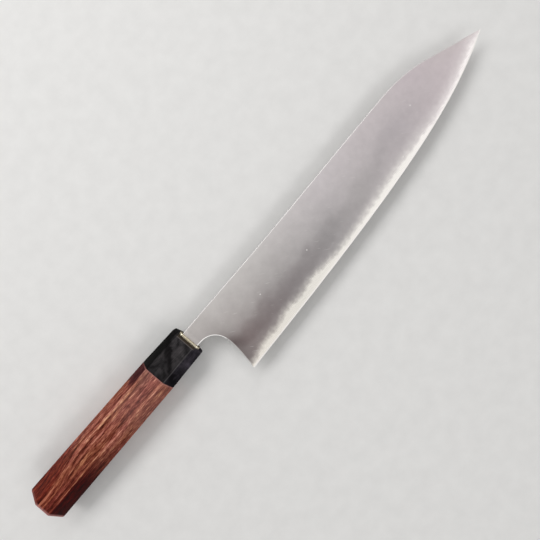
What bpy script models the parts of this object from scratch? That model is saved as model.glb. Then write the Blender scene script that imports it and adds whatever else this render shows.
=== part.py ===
"""Gyuto kitchen knife with a clipped point and an eight-sided handle, at its real size.

The knife lies on its side: +X runs from the butt to the tip, +Y towards the spine and +Z up
through the flat of the blade. Every piece is drawn about the handle's axis, with x = 0 on the
ferrule's front face, and one empty then stands the whole knife on z = 0.
"""
import math

import bmesh
import bpy
import numpy as np

MM = 0.001
DEGREE = math.pi / 180.0

# Blade outline, measured from the ferrule's front face and the handle's axis
BLADE_LENGTH = 269.0 * MM
NECK_LENGTH = 15.0 * MM
NECK_HEIGHT = 12.7 * MM
HEEL_DROP = 45.0 * MM
TIP_DROP = 11.8 * MM
SPINE_HEIGHT = 5.7 * MM
SPINE_STRAIGHT = 68.0 * MM
CREST_RISE = 2.5 * MM
CREST_TO_TIP = 73.0 * MM
CLIP_LENGTH = 38.0 * MM
CLIP_START_DROP = 6.2 * MM
EDGE_HEEL_ANGLE = 2.2 * DEGREE
EDGE_TIP_ANGLE = 22.2 * DEGREE
EDGE_HEEL_PULL = 0.58
EDGE_TIP_PULL = 0.19
CREST_PULL = 0.2
CREST_ROUNDNESS = 0.62

# Choil, the hollow behind the heel
CHOIL_START = 4.0 * MM
CHOIL_BITE = 3.0 * MM
CHOIL_DEPTH = 15.0 * MM
CHOIL_ROUNDNESS = 0.62
HEEL_LEAN = 7.5 * DEGREE

# Blade thickness and grind
NECK_THICKNESS = 3.6 * MM
HEEL_THICKNESS = 3.0 * MM
CREST_THICKNESS = 1.9 * MM
CLIP_THICKNESS = 1.4 * MM
TIP_THICKNESS = 0.3 * MM
GRIND_SHARE = 0.55
GRIND_POWER = 1.3
SPINE_EASE = 0.4 * MM

# Lamination
CLAD_LINE_HEEL = 8.2 * MM
CLAD_LINE_CREST = 3.4 * MM
CLAD_END_TO_TIP = 7.0 * MM
LAMINATION_SEAM = 0.02 * MM

# Tang
TANG_LENGTH = 95.0 * MM
TANG_SHOULDER = 4.0 * MM
TANG_ROOT_HEIGHT = 10.2 * MM
TANG_END_HEIGHT = 5.0 * MM
TANG_END_THICKNESS = 2.2 * MM

# Collar on the ferrule's front face
COLLAR_THICKNESS = 1.2 * MM
COLLAR_END_WALL = 1.7 * MM
COLLAR_SIDE_WALL = 0.7 * MM

# Handle, an eight-sided taper: ferrule front, joint and butt, with facets that widen past the grip
HANDLE_LENGTH = 141.2 * MM
FERRULE_LENGTH = 29.0 * MM
FRONT_HEIGHT = 24.0 * MM
FRONT_THICKNESS = 18.5 * MM
FRONT_SPINE_FACET = 4.3 * MM
FRONT_EDGE_FACET = 6.2 * MM
FRONT_FACET_DEPTH = 5.0 * MM
JOINT_HEIGHT = 25.9 * MM
JOINT_THICKNESS = 19.4 * MM
JOINT_SPINE_FACET = 4.6 * MM
JOINT_EDGE_FACET = 6.8 * MM
JOINT_FACET_DEPTH = 5.4 * MM
GRIP_TO_BUTT = 53.0 * MM
GRIP_SPINE_FACET = 4.9 * MM
GRIP_EDGE_FACET = 7.3 * MM
GRIP_FACET_DEPTH = 5.7 * MM
BUTT_HEIGHT = 27.8 * MM
BUTT_THICKNESS = 22.0 * MM
BUTT_SPINE_FACET = 9.0 * MM
BUTT_EDGE_FACET = 8.2 * MM
BUTT_FACET_DEPTH = 7.4 * MM
BUTT_CHAMFER = 0.9 * MM
RIDGE_EASE = 0.4 * MM

# Dowel, resin and mortise inside the handle
FERRULE_WALL = 7.7 * MM
DOWEL_LENGTH = 54.0 * MM
DOWEL_WALL = 0.95 * MM
RESIN_WALL = 0.4 * MM
RESIN_PAST_TANG = 2.0 * MM

# Clearances
SLOT_GAP = 0.3 * MM
RESIN_GAP = 0.15 * MM
DOWEL_GAP = 0.15 * MM
DOWEL_END_GAP = 0.3 * MM
SEAT_GAP = 0.3 * MM

# Fineness of the model
CURVE_SAMPLES = 40
TANG_STATIONS = 4
BODY_STATIONS = 25
ROUND_OVER_STATIONS = 15
CLIP_STATIONS = 10
POINT_SHARES = (0.66, 0.33, 0.1)
GRIND_ROWS = 7
ROUND_SIDES = 48
COLLAR_ARC_STEPS = 16
OUTLINE_STEPS = 14
RIDGE_STEPS = 2
RIDGE_ANGLE = 20 * DEGREE
ARC_ANGLE = 30 * DEGREE
MERGE = 1e-7

# How far cutters reach past the material that they cut
PAST = 1.0 * MM
OUTLINE_PAST = 10.0 * MM

HEEL_X = NECK_LENGTH
TIP_X = NECK_LENGTH + BLADE_LENGTH
CREST_X = TIP_X - CREST_TO_TIP
CLIP_X = TIP_X - CLIP_LENGTH
CLAD_END_X = TIP_X - CLAD_END_TO_TIP
CREST_HEIGHT = SPINE_HEIGHT + CREST_RISE
CLIP_START_HEIGHT = CREST_HEIGHT - CLIP_START_DROP
NECK_UNDERSIDE = SPINE_HEIGHT - NECK_HEIGHT
DOWEL_FRONT_X = -FERRULE_WALL - DOWEL_END_GAP
DOWEL_REAR_X = DOWEL_FRONT_X - DOWEL_LENGTH
RESIN_END_X = -TANG_LENGTH - RESIN_PAST_TANG
RESIN_HEIGHT = TANG_ROOT_HEIGHT + 2 * (RESIN_GAP + RESIN_WALL)
RESIN_THICKNESS = NECK_THICKNESS + 2 * (RESIN_GAP + RESIN_WALL)
DOWEL_SLOT_HEIGHT = RESIN_HEIGHT + 2 * RESIN_GAP
DOWEL_SLOT_THICKNESS = RESIN_THICKNESS + 2 * RESIN_GAP
DOWEL_RADIUS = math.hypot(DOWEL_SLOT_HEIGHT, DOWEL_SLOT_THICKNESS) / 2 + DOWEL_WALL
BORE_RADIUS = DOWEL_RADIUS + DOWEL_GAP


def clear_scene():
    for obj in list(bpy.data.objects):
        bpy.data.objects.remove(obj, do_unlink=True)


def new_collection(name):
    collection = bpy.data.collections.new(name)
    bpy.context.scene.collection.children.link(collection)
    return collection


def new_material(name, colour, roughness, metallic):
    """A Principled material from a linear colour."""
    material = bpy.data.materials.new(name)
    material.use_nodes = True
    shader = material.node_tree.nodes["Principled BSDF"]
    shader.inputs["Base Color"].default_value = (*colour, 1.0)
    shader.inputs["Roughness"].default_value = roughness
    shader.inputs["Metallic"].default_value = metallic
    return material


def add_object(name, mesh, collection, parent, material=None):
    obj = bpy.data.objects.new(name, mesh)
    collection.objects.link(obj)
    obj.parent = parent
    if material:
        mesh.materials.append(material)
    return obj


def mesh_from(bm, name, smooth_angle=None):
    """Closes a bmesh off as a mesh with its faces pointing out."""
    bmesh.ops.remove_doubles(bm, verts=bm.verts, dist=MERGE)
    bmesh.ops.recalc_face_normals(bm, faces=bm.faces)
    mesh = bpy.data.meshes.new(name)
    bm.to_mesh(mesh)
    bm.free()
    if smooth_angle is not None:
        mesh.shade_smooth()
        mesh.set_sharp_from_angle(angle=smooth_angle)
    return mesh


def cut(obj, *cutters):
    for cutter in cutters:
        modifier = obj.modifiers.new("cut " + cutter.name, "BOOLEAN")
        modifier.operation = "DIFFERENCE"
        modifier.solver = "EXACT"
        modifier.object = cutter


def as_cutter(obj):
    obj.hide_render = True
    obj.display_type = "WIRE"
    return obj


def bezier_points(start, start_handle, end_handle, end, count=CURVE_SAMPLES):
    """Points along one cubic curve, as an array of x and y."""
    t = np.linspace(0.0, 1.0, count)[:, None]
    corners = [np.array(p) for p in (start, start_handle, end_handle, end)]
    weights = [(1 - t) ** 3, 3 * (1 - t) ** 2 * t, 3 * (1 - t) * t ** 2, t ** 3]
    return sum(w * c for w, c in zip(weights, corners))


def spine_curve():
    """The upper outline: tang, straight spine, slight rise to the crest, round-over and clip."""
    crest = (CREST_X, CREST_HEIGHT)
    rise = CREST_PULL * (CREST_X - SPINE_STRAIGHT)
    clip_start = (CLIP_X, CLIP_START_HEIGHT)
    clip_slope = (CLIP_START_HEIGHT + TIP_DROP) / CLIP_LENGTH
    meeting = CLIP_X - CLIP_START_DROP / clip_slope
    straight = [
        (-TANG_LENGTH, TANG_END_HEIGHT / 2),
        (-TANG_SHOULDER, TANG_ROOT_HEIGHT / 2),
        (0.0, SPINE_HEIGHT),
    ]
    climb = bezier_points(
        (SPINE_STRAIGHT, SPINE_HEIGHT),
        (SPINE_STRAIGHT + rise, SPINE_HEIGHT),
        (CREST_X - rise, CREST_HEIGHT),
        crest,
    )
    before = CREST_X + CREST_ROUNDNESS * (meeting - CREST_X)
    after = CLIP_X - CREST_ROUNDNESS * (CLIP_X - meeting)
    after_height = CLIP_START_HEIGHT + CREST_ROUNDNESS * CLIP_START_DROP
    round_over = bezier_points(crest, (before, CREST_HEIGHT), (after, after_height), clip_start)
    return np.vstack([straight, climb, round_over, [(TIP_X, -TIP_DROP)]])


def edge_curve():
    """The cutting edge, continued straight behind the heel, where the choil cuts it away."""
    heel = (HEEL_X, -HEEL_DROP)
    tip = (TIP_X, -TIP_DROP)
    heel_pull = EDGE_HEEL_PULL * BLADE_LENGTH
    tip_pull = EDGE_TIP_PULL * BLADE_LENGTH
    belly = bezier_points(
        heel,
        (heel[0] + heel_pull, heel[1] + heel_pull * math.tan(EDGE_HEEL_ANGLE)),
        (tip[0] - tip_pull, tip[1] - tip_pull * math.tan(EDGE_TIP_ANGLE)),
        tip,
    )
    return np.vstack([[(-TANG_LENGTH, -HEEL_DROP)], belly])


SPINE = spine_curve()
EDGE = edge_curve()


def spine_y(x):
    return float(np.interp(x, SPINE[:, 0], SPINE[:, 1]))


def edge_y(x):
    return float(np.interp(x, EDGE[:, 0], EDGE[:, 1]))


def blade_height(x):
    return spine_y(x) - edge_y(x)


def half_thickness(x):
    """Half the thickness at the spine: the distal taper from the neck to the tip."""
    stations, full = zip(
        (-TANG_LENGTH, TANG_END_THICKNESS),
        (0.0, NECK_THICKNESS),
        (HEEL_X, HEEL_THICKNESS),
        (CREST_X, CREST_THICKNESS),
        (CLIP_X, CLIP_THICKNESS),
        (TIP_X, TIP_THICKNESS),
    )
    return float(np.interp(x, stations, full)) / 2


def grind(share):
    """Share of the spine's thickness at a share of the blade's height: convex below, flat above."""
    return 1.0 - (1.0 - min(share / GRIND_SHARE, 1.0)) ** GRIND_POWER


def grind_height(thickness_share):
    """The share of the blade's height at which the grind reaches a share of the thickness."""
    return GRIND_SHARE * (1.0 - (1.0 - thickness_share) ** (1.0 / GRIND_POWER))


def line_share(x):
    """Height of the lamination line, as a share of the blade's height."""
    end_share = grind_height(1.0 - LAMINATION_SEAM / half_thickness(CLAD_END_X))
    stations = [HEEL_X, CREST_X, CLAD_END_X]
    heights = [CLAD_LINE_HEEL, CLAD_LINE_CREST, end_share * blade_height(CLAD_END_X)]
    if x >= CLAD_END_X:
        return end_share
    return float(np.interp(x, stations, heights)) / blade_height(x)


def core_half(x):
    """Half the core's thickness: what the grind leaves at the lamination line."""
    if x > CLAD_END_X:
        return half_thickness(x)
    return half_thickness(x) * grind(line_share(x))


def blade_stations():
    """Places along the blade where a cross-section is drawn, up to the end of the cladding."""
    tang = np.linspace(-TANG_LENGTH, -TANG_SHOULDER, TANG_STATIONS)
    neck = [0.0]
    body = np.linspace(HEEL_X, CREST_X, BODY_STATIONS)
    round_over = np.linspace(CREST_X, CLIP_X, ROUND_OVER_STATIONS)[1:]
    clip = np.linspace(CLIP_X, CLAD_END_X, CLIP_STATIONS)[1:]
    return [float(x) for x in np.concatenate([tang, neck, body, round_over, clip])]


def skin_sections(bm, sections, closed, tip=None):
    """Skins cross-sections given as lists of points, caps the first and ends in a point."""
    rings = [[bm.verts.new(point) for point in section] for section in sections]
    for ring, following in zip(rings, rings[1:]):
        count = len(ring)
        for i in range(count if closed else count - 1):
            j = (i + 1) % count
            bm.faces.new((ring[i], ring[j], following[j], following[i]))
    bm.faces.new(rings[0])
    if tip is None:
        bm.faces.new(list(reversed(rings[-1])))
        return
    point = bm.verts.new(tip)
    ring = rings[-1]
    for i in range(len(ring) if closed else len(ring) - 1):
        bm.faces.new((ring[i], ring[(i + 1) % len(ring)], point))


def core_section(x):
    """Upper half of the core's section: ground edge, lamination line, flat side and spine."""
    base = edge_y(x)
    height = blade_height(x)
    line = line_share(x)
    half = half_thickness(x)
    limit = core_half(x)
    shares = [0.0, line / 3, 2 * line / 3, line, (line + 1) / 2, 1.0]
    points = [(x, base + share * height, min(half * grind(share), limit)) for share in shares]
    return points + [(x, spine_y(x), 0.0)]


def cladding_section(x):
    """Section of one cladding: feather edge, convex grind, flat, eased spine and inner face."""
    base = edge_y(x)
    height = blade_height(x)
    half = half_thickness(x)
    inner = core_half(x) + LAMINATION_SEAM
    foot = grind_height(inner / half)
    ease = min(SPINE_EASE, (half - inner) / 2, (1 - GRIND_SHARE) * height / 2)
    ground = np.linspace(foot, GRIND_SHARE, GRIND_ROWS)
    points = [(x, base + share * height, half * grind(share)) for share in ground]
    points.append((x, spine_y(x) - ease, half))
    points.append((x, spine_y(x), half - ease))
    points.append((x, spine_y(x), inner))
    return points


def make_core(collection, parent, material):
    """The hard steel core: one half is drawn and mirrored through the blade's mid-plane."""
    past_cladding = [TIP_X - CLAD_END_TO_TIP * share for share in POINT_SHARES]
    bm = bmesh.new()
    sections = [core_section(x) for x in blade_stations() + past_cladding]
    skin_sections(bm, sections, closed=False, tip=(TIP_X, -TIP_DROP, 0.0))
    core = add_object("core_steel", mesh_from(bm, "core_steel"), collection, parent, material)
    mirror = core.modifiers.new("two halves", "MIRROR")
    mirror.use_axis = (False, False, True)
    mirror.merge_threshold = MERGE
    return core


def make_cladding(name, side, collection, parent, material):
    """One soft steel layer. side is 1 for the face that looks up and -1 for its twin."""
    sections = [cladding_section(x) for x in blade_stations()[:-1]]
    end = (CLAD_END_X, spine_y(CLAD_END_X), half_thickness(CLAD_END_X))
    bm = bmesh.new()
    skin_sections(bm, sections, closed=True, tip=end)
    for vert in bm.verts:
        vert.co.z *= side
    return add_object(name, mesh_from(bm, name), collection, parent, material)


def curve_prism(name, spline_points, thickness, collection, parent):
    """A flat outline of corners and handles, extruded to a plate centred on the mid-plane.

    Each point is (position, handle before it, handle after it); None is a straight corner.
    """
    curve = bpy.data.curves.new(name, "CURVE")
    curve.dimensions = "2D"
    curve.fill_mode = "BOTH"
    curve.extrude = thickness / 2
    spline = curve.splines.new("BEZIER")
    spline.use_cyclic_u = True
    spline.resolution_u = OUTLINE_STEPS
    spline.bezier_points.add(len(spline_points) - 1)
    for point, (place, before, after) in zip(spline.bezier_points, spline_points):
        point.handle_left_type = "FREE" if before else "VECTOR"
        point.handle_right_type = "FREE" if after else "VECTOR"
        point.co = (*place, 0.0)
        point.handle_left = (*(before or place), 0.0)
        point.handle_right = (*(after or place), 0.0)
    drawn = bpy.data.objects.new(name + " curve", curve)
    collection.objects.link(drawn)
    bpy.context.view_layer.update()
    depsgraph = bpy.context.evaluated_depsgraph_get()
    mesh = bpy.data.meshes.new_from_object(drawn.evaluated_get(depsgraph))
    bpy.data.objects.remove(drawn, do_unlink=True)
    bm = bmesh.new()
    bm.from_mesh(mesh)
    bpy.data.meshes.remove(mesh)
    return add_object(name, mesh_from(bm, name), collection, parent)


def make_outline_cutter(collection, parent):
    """Cuts the choil, the neck's underside and the tang's underside out of the blade layers."""
    lean = math.tan(HEEL_LEAN)
    below = -HEEL_DROP - OUTLINE_PAST
    beyond = -TANG_LENGTH - OUTLINE_PAST
    heel = (HEEL_X, -HEEL_DROP)
    bite = (HEEL_X + CHOIL_BITE, NECK_UNDERSIDE - CHOIL_DEPTH)
    neck = (CHOIL_START, NECK_UNDERSIDE)
    pull_x = CHOIL_ROUNDNESS * (bite[0] - neck[0])
    pull_y = CHOIL_ROUNDNESS * CHOIL_DEPTH
    heel_pull = (bite[1] - heel[1]) / 3
    outline = [
        ((heel[0] - OUTLINE_PAST * lean, below), None, None),
        (heel, None, (heel[0] + heel_pull * lean, heel[1] + heel_pull)),
        (bite, (bite[0], bite[1] - heel_pull), (bite[0], bite[1] + pull_y)),
        (neck, (neck[0] + pull_x, neck[1]), None),
        ((0.0, NECK_UNDERSIDE), None, None),
        ((-TANG_SHOULDER, -TANG_ROOT_HEIGHT / 2), None, None),
        ((beyond, tang_underside(beyond)), None, None),
        ((beyond, below), None, None),
    ]
    plate = NECK_THICKNESS + 2 * PAST
    cutter = curve_prism("blade outline cutter", outline, plate, collection, parent)
    return as_cutter(cutter)


def tang_underside(x):
    """The tang's lower edge, straight from its root to its end and on past it."""
    slope = (TANG_ROOT_HEIGHT - TANG_END_HEIGHT) / 2 / (TANG_LENGTH - TANG_SHOULDER)
    return -TANG_ROOT_HEIGHT / 2 + slope * (-TANG_SHOULDER - x)


def tapered_bar(name, front, rear, collection, parent, material=None):
    """A bar along X. front and rear are (x, height, thickness), each centred on the axis."""
    bm = bmesh.new()
    bmesh.ops.create_cube(bm, size=1.0)
    for vert in bm.verts:
        x, height, thickness = front if vert.co.x > 0 else rear
        vert.co = (x, vert.co.y * height, vert.co.z * thickness)
    return add_object(name, mesh_from(bm, name), collection, parent, material)


def round_bar(name, radius, front_x, rear_x, collection, parent, material=None):
    """A cylinder along X, built about its own centre and placed by its location."""
    bm = bmesh.new()
    length = front_x - rear_x
    bmesh.ops.create_cone(
        bm, cap_ends=True, segments=ROUND_SIDES, radius1=radius, radius2=radius, depth=length
    )
    bar = add_object(name, mesh_from(bm, name, ARC_ANGLE), collection, parent, material)
    bar.rotation_euler = (0.0, math.pi / 2, 0.0)
    bar.location = ((front_x + rear_x) / 2, 0.0, 0.0)
    return bar


def octagon(x, height, thickness, spine_facet, edge_facet, facet_depth, inset=0.0):
    """Eight corners of the handle's section, drawn in by inset for a chamfered end."""
    top = height / 2 - inset
    side = thickness / 2 - inset
    level = thickness / 2 - facet_depth
    upper = height / 2 - spine_facet
    lower = -height / 2 + edge_facet
    corners = [(top, level), (upper, side), (lower, side), (-top, level)]
    mirrored = [(y, -z) for y, z in reversed(corners)]
    return [(x, y, z) for y, z in corners + mirrored]


def front_octagon(x):
    return octagon(
        x, FRONT_HEIGHT, FRONT_THICKNESS, FRONT_SPINE_FACET, FRONT_EDGE_FACET, FRONT_FACET_DEPTH
    )


def joint_octagon(x):
    return octagon(
        x, JOINT_HEIGHT, JOINT_THICKNESS, JOINT_SPINE_FACET, JOINT_EDGE_FACET, JOINT_FACET_DEPTH
    )


def grip_octagon(x, front_x, rear_x):
    """The section behind the grip: on the straight taper, with facets of its own."""
    share = (front_x - x) / (front_x - rear_x)
    height = JOINT_HEIGHT + share * (BUTT_HEIGHT - JOINT_HEIGHT)
    thickness = JOINT_THICKNESS + share * (BUTT_THICKNESS - JOINT_THICKNESS)
    return octagon(x, height, thickness, GRIP_SPINE_FACET, GRIP_EDGE_FACET, GRIP_FACET_DEPTH)


def butt_octagon(x, inset=0.0):
    return octagon(
        x, BUTT_HEIGHT, BUTT_THICKNESS, BUTT_SPINE_FACET, BUTT_EDGE_FACET, BUTT_FACET_DEPTH, inset
    )


def eased_loft(name, sections, eased_end_x, collection, parent, material):
    """Skins the sections and softens the long ridges, and the rim at eased_end_x."""
    bm = bmesh.new()
    skin_sections(bm, sections, closed=True)
    bmesh.ops.recalc_face_normals(bm, faces=bm.faces)
    edges = []
    for edge in bm.edges:
        first, second = edge.verts
        along = abs(first.co.x - second.co.x) > edge.calc_length() / 2
        at_rim = all(abs(vert.co.x - eased_end_x) < MERGE for vert in edge.verts)
        if along or at_rim:
            edges.append(edge)
    bmesh.ops.bevel(
        bm, geom=edges, offset=RIDGE_EASE, segments=RIDGE_STEPS, profile=0.5, affect="EDGES"
    )
    return add_object(name, mesh_from(bm, name, RIDGE_ANGLE), collection, parent, material)


def make_ferrule(collection, cutters, parent, material):
    """Black ferrule: blind bore for the dowel from behind, slot for the tang through its front."""
    sections = [front_octagon(0.0), joint_octagon(-FERRULE_LENGTH)]
    ferrule = eased_loft("ferrule", sections, 0.0, collection, parent, material)
    bore = round_bar(
        "ferrule bore cutter", BORE_RADIUS, -FERRULE_WALL, -FERRULE_LENGTH - PAST, cutters, parent
    )
    front_height = 2 * max(SPINE_HEIGHT, -NECK_UNDERSIDE) + 2 * SLOT_GAP
    thickness = NECK_THICKNESS + 2 * SLOT_GAP
    slot = tapered_bar(
        "ferrule slot cutter",
        (PAST, front_height, thickness),
        (-FERRULE_WALL - PAST, front_height, thickness),
        cutters,
        parent,
    )
    cut(ferrule, as_cutter(bore), as_cutter(slot))
    return ferrule


def make_handle_body(collection, cutters, parent, material):
    """Wooden body: bore for the dowel, then a narrower mortise for the resin and the tang's end."""
    front_x = -FERRULE_LENGTH - SEAT_GAP
    rear_x = -HANDLE_LENGTH + BUTT_CHAMFER
    sections = [
        joint_octagon(front_x),
        grip_octagon(-HANDLE_LENGTH + GRIP_TO_BUTT, front_x, rear_x),
        butt_octagon(rear_x),
        butt_octagon(-HANDLE_LENGTH, BUTT_CHAMFER),
    ]
    body = eased_loft("handle_body", sections, -HANDLE_LENGTH, collection, parent, material)
    bore_end_x = DOWEL_REAR_X - DOWEL_END_GAP
    bore = round_bar(
        "body bore cutter", BORE_RADIUS, front_x + PAST, bore_end_x, cutters, parent
    )
    mortise = tapered_bar(
        "mortise cutter",
        (DOWEL_REAR_X + PAST, DOWEL_SLOT_HEIGHT, DOWEL_SLOT_THICKNESS),
        (RESIN_END_X - RESIN_GAP, DOWEL_SLOT_HEIGHT, DOWEL_SLOT_THICKNESS),
        cutters,
        parent,
    )
    cut(body, as_cutter(bore), as_cutter(mortise))
    return body


def make_dowel(collection, cutters, parent, material):
    """Tenon dowel between ferrule and body, slotted from end to end for the resin and tang."""
    dowel = round_bar(
        "tenon_dowel", DOWEL_RADIUS, DOWEL_FRONT_X, DOWEL_REAR_X, collection, parent, material
    )
    slot = tapered_bar(
        "dowel slot cutter",
        (DOWEL_FRONT_X + PAST, DOWEL_SLOT_HEIGHT, DOWEL_SLOT_THICKNESS),
        (DOWEL_REAR_X - PAST, DOWEL_SLOT_HEIGHT, DOWEL_SLOT_THICKNESS),
        cutters,
        parent,
    )
    cut(dowel, as_cutter(slot))
    return dowel


def tang_space(x):
    """Height and thickness of the room that the tang needs at x, with its clearance."""
    height = 2 * max(spine_y(x), -tang_underside(x)) + 2 * RESIN_GAP
    return x, height, 2 * half_thickness(x) + 2 * RESIN_GAP


def make_resin(collection, cutters, parent, material):
    """Set resin round the tang: square outside, and inside a taper that follows the tang."""
    resin = tapered_bar(
        "tang_resin",
        (DOWEL_FRONT_X, RESIN_HEIGHT, RESIN_THICKNESS),
        (RESIN_END_X, RESIN_HEIGHT, RESIN_THICKNESS),
        collection,
        parent,
        material,
    )
    hollow = tapered_bar(
        "tang hollow cutter",
        tang_space(-TANG_SHOULDER),
        (RESIN_END_X - RESIN_GAP, *tang_space(-TANG_LENGTH)[1:]),
        cutters,
        parent,
    )
    cut(resin, as_cutter(hollow))
    return resin


def make_collar(collection, cutters, parent, material):
    """Thin collar with round ends, seated on the ferrule's front face round the neck."""
    slot_height = NECK_HEIGHT + 2 * SLOT_GAP
    slot_thickness = NECK_THICKNESS + 2 * SLOT_GAP
    height = slot_height + 2 * COLLAR_END_WALL
    end_radius = slot_thickness / 2 + COLLAR_SIDE_WALL
    straight = height / 2 - end_radius
    arc = np.linspace(0.0, math.pi, COLLAR_ARC_STEPS + 1)
    upper = [(straight + end_radius * math.sin(a), end_radius * math.cos(a)) for a in arc]
    outline = upper + [(-y, -z) for y, z in upper]
    centre = (SPINE_HEIGHT + NECK_UNDERSIDE) / 2
    back_x = SEAT_GAP
    front_x = back_x + COLLAR_THICKNESS
    bm = bmesh.new()
    sections = [[(x, centre + y, z) for y, z in outline] for x in (back_x, front_x)]
    skin_sections(bm, sections, closed=True)
    mesh = mesh_from(bm, "tang_collar", ARC_ANGLE)
    collar = add_object("tang_collar", mesh, collection, parent, material)
    slot = tapered_bar(
        "collar slot cutter",
        (front_x + PAST, slot_height, slot_thickness),
        (back_x - PAST, slot_height, slot_thickness),
        cutters,
        parent,
    )
    slot.location.y = centre
    cut(collar, as_cutter(slot))
    return collar


def main():
    clear_scene()
    parts = new_collection("gyuto_knife")
    cutters = new_collection("gyuto_knife_cutters")
    steel = new_material("polished core steel", (0.72, 0.70, 0.66), 0.24, 1.0)
    iron = new_material("satin cladding steel", (0.45, 0.43, 0.43), 0.38, 1.0)
    brass = new_material("brass", (0.72, 0.53, 0.24), 0.25, 1.0)
    horn = new_material("black horn", (0.012, 0.011, 0.012), 0.3, 0.0)
    rosewood = new_material("oiled rosewood", (0.29, 0.083, 0.05), 0.45, 0.0)
    dowel_wood = new_material("magnolia wood", (0.60, 0.47, 0.30), 0.6, 0.0)
    resin = new_material("set resin", (0.35, 0.22, 0.09), 0.2, 0.0)

    root = bpy.data.objects.new("knife_root", None)
    parts.objects.link(root)
    upper_y = max(BUTT_HEIGHT / 2, CREST_HEIGHT)
    root.location = (
        (HANDLE_LENGTH - TIP_X) / 2,
        (HEEL_DROP - upper_y) / 2,
        max(BUTT_THICKNESS, JOINT_THICKNESS, FRONT_THICKNESS) / 2,
    )

    outline = make_outline_cutter(cutters, root)
    core = make_core(parts, root, steel)
    right = make_cladding("cladding_right", 1, parts, root, iron)
    left = make_cladding("cladding_left", -1, parts, root, iron)
    for layer in (core, right, left):
        cut(layer, outline)
    make_collar(parts, cutters, root, brass)
    make_ferrule(parts, cutters, root, horn)
    make_handle_body(parts, cutters, root, rosewood)
    make_dowel(parts, cutters, root, dowel_wood)
    make_resin(parts, cutters, root, resin)


main()
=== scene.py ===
# %% [markdown]
# # A laminated gyuto, seen from above
# A gyuto is the Japanese form of a chef's knife. This one has a three-layer blade with a clipped
# point, a thin gold collar, a black horn ferrule and an eight-sided rosewood handle. It lies on its
# side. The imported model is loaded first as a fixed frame, and every piece below takes its place
# from that frame, so nothing has to be fitted by eye.

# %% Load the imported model
import math

import bmesh
import bpy
import numpy as np
from mathutils import Matrix, Vector
from mathutils.geometry import delaunay_2d_cdt


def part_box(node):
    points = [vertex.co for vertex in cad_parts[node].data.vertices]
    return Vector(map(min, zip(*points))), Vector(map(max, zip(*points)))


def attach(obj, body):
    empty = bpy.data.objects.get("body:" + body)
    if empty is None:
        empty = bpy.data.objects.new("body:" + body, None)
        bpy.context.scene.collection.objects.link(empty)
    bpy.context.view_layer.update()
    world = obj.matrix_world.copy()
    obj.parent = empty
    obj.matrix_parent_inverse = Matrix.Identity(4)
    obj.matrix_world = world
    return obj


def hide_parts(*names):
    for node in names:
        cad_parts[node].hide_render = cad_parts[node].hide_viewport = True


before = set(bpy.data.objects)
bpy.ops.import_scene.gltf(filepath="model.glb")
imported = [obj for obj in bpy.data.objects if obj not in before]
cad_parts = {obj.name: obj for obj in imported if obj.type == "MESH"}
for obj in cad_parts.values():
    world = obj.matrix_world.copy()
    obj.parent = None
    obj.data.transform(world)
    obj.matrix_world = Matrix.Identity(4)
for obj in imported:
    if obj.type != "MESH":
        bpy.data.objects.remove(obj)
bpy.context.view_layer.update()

print("CAD nodes:", ", ".join(sorted(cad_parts)))

# %% [markdown]
# ## Where everything is
# The pieces are drawn as a maker measures a knife: about the handle's axis, with x = 0 on the
# ferrule's front face, y up towards the spine and z = 0 in the middle of the blade. One vector,
# read from the frame, then carries a finished mesh to its place, so a longer handle would move it
# by itself.

# %% The knife's own origin
MM = 0.001
DEGREE = math.pi / 180

ferrule_low, ferrule_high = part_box("ferrule")
core_low, core_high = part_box("core_steel")
grip_low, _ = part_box("handle_body")
_, collar_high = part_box("tang_collar")

KNIFE_ORIGIN = Vector((
    ferrule_high.x,
    (ferrule_low.y + ferrule_high.y) / 2,
    (core_low.z + core_high.z) / 2,
))
TIP_X = core_high.x - KNIFE_ORIGIN.x
HEEL_Y = core_low.y - KNIFE_ORIGIN.y
TANG_END_X = core_low.x - KNIFE_ORIGIN.x
BUTT_X = grip_low.x - KNIFE_ORIGIN.x
JOINT_X = ferrule_low.x - KNIFE_ORIGIN.x
print(f"tip at {TIP_X / MM:.1f} mm, butt at {BUTT_X / MM:.1f} mm, edge {HEEL_Y / MM:.1f} mm")

# %% [markdown]
# ## Helpers for nodes and colours
# Makers give colours as sRGB hex values, and shaders work in linear light, so one function turns
# one into the other. Another adds a node of any kind, sets its options and fills its sockets with
# numbers or links: a list in order, a dict by name or number. A node that is given links its first
# output that is switched on. A Map Range takes a value, where it starts, where it ends and what it
# gives at either. A Mix has its factor at 0 and its two colours at 6 and 7.

# %% Colours and nodes
def linear(hex_colour):
    """An sRGB hex colour as linear RGBA."""
    channels = [int(hex_colour[i:i + 2], 16) / 255 for i in (1, 3, 5)]
    light = [c / 12.92 if c <= 0.04045 else ((c + 0.055) / 1.055) ** 2.4 for c in channels]
    return (*light, 1.0)


def fill(tree, node, inputs):
    """Fills a node's sockets with numbers, with sockets or from other nodes."""
    if not isinstance(inputs, dict):
        inputs = dict(enumerate(inputs))
    for name, value in inputs.items():
        if isinstance(value, bpy.types.Node):
            value = next(socket for socket in value.outputs if socket.enabled)
        if isinstance(value, bpy.types.NodeSocket):
            tree.links.new(value, node.inputs[name])
        else:
            node.inputs[name].default_value = value


def add_node(tree, kind, inputs=(), **settings):
    """Adds a node, whose kind may leave out ShaderNode. settings are the node's own options."""
    node = tree.nodes.new(kind if "Node" in kind else "ShaderNode" + kind)
    for name, value in settings.items():
        setattr(node, name, value)
    fill(tree, node, inputs)
    return node


def set_ramp(node, stops):
    """Fills a Color Ramp with (position, hex colour) stops."""
    elements = node.color_ramp.elements
    while len(elements) < len(stops):
        elements.new(0.5)
    for element, (position, colour) in zip(elements, stops):
        element.position = position
        element.color = linear(colour)
    return node


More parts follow.
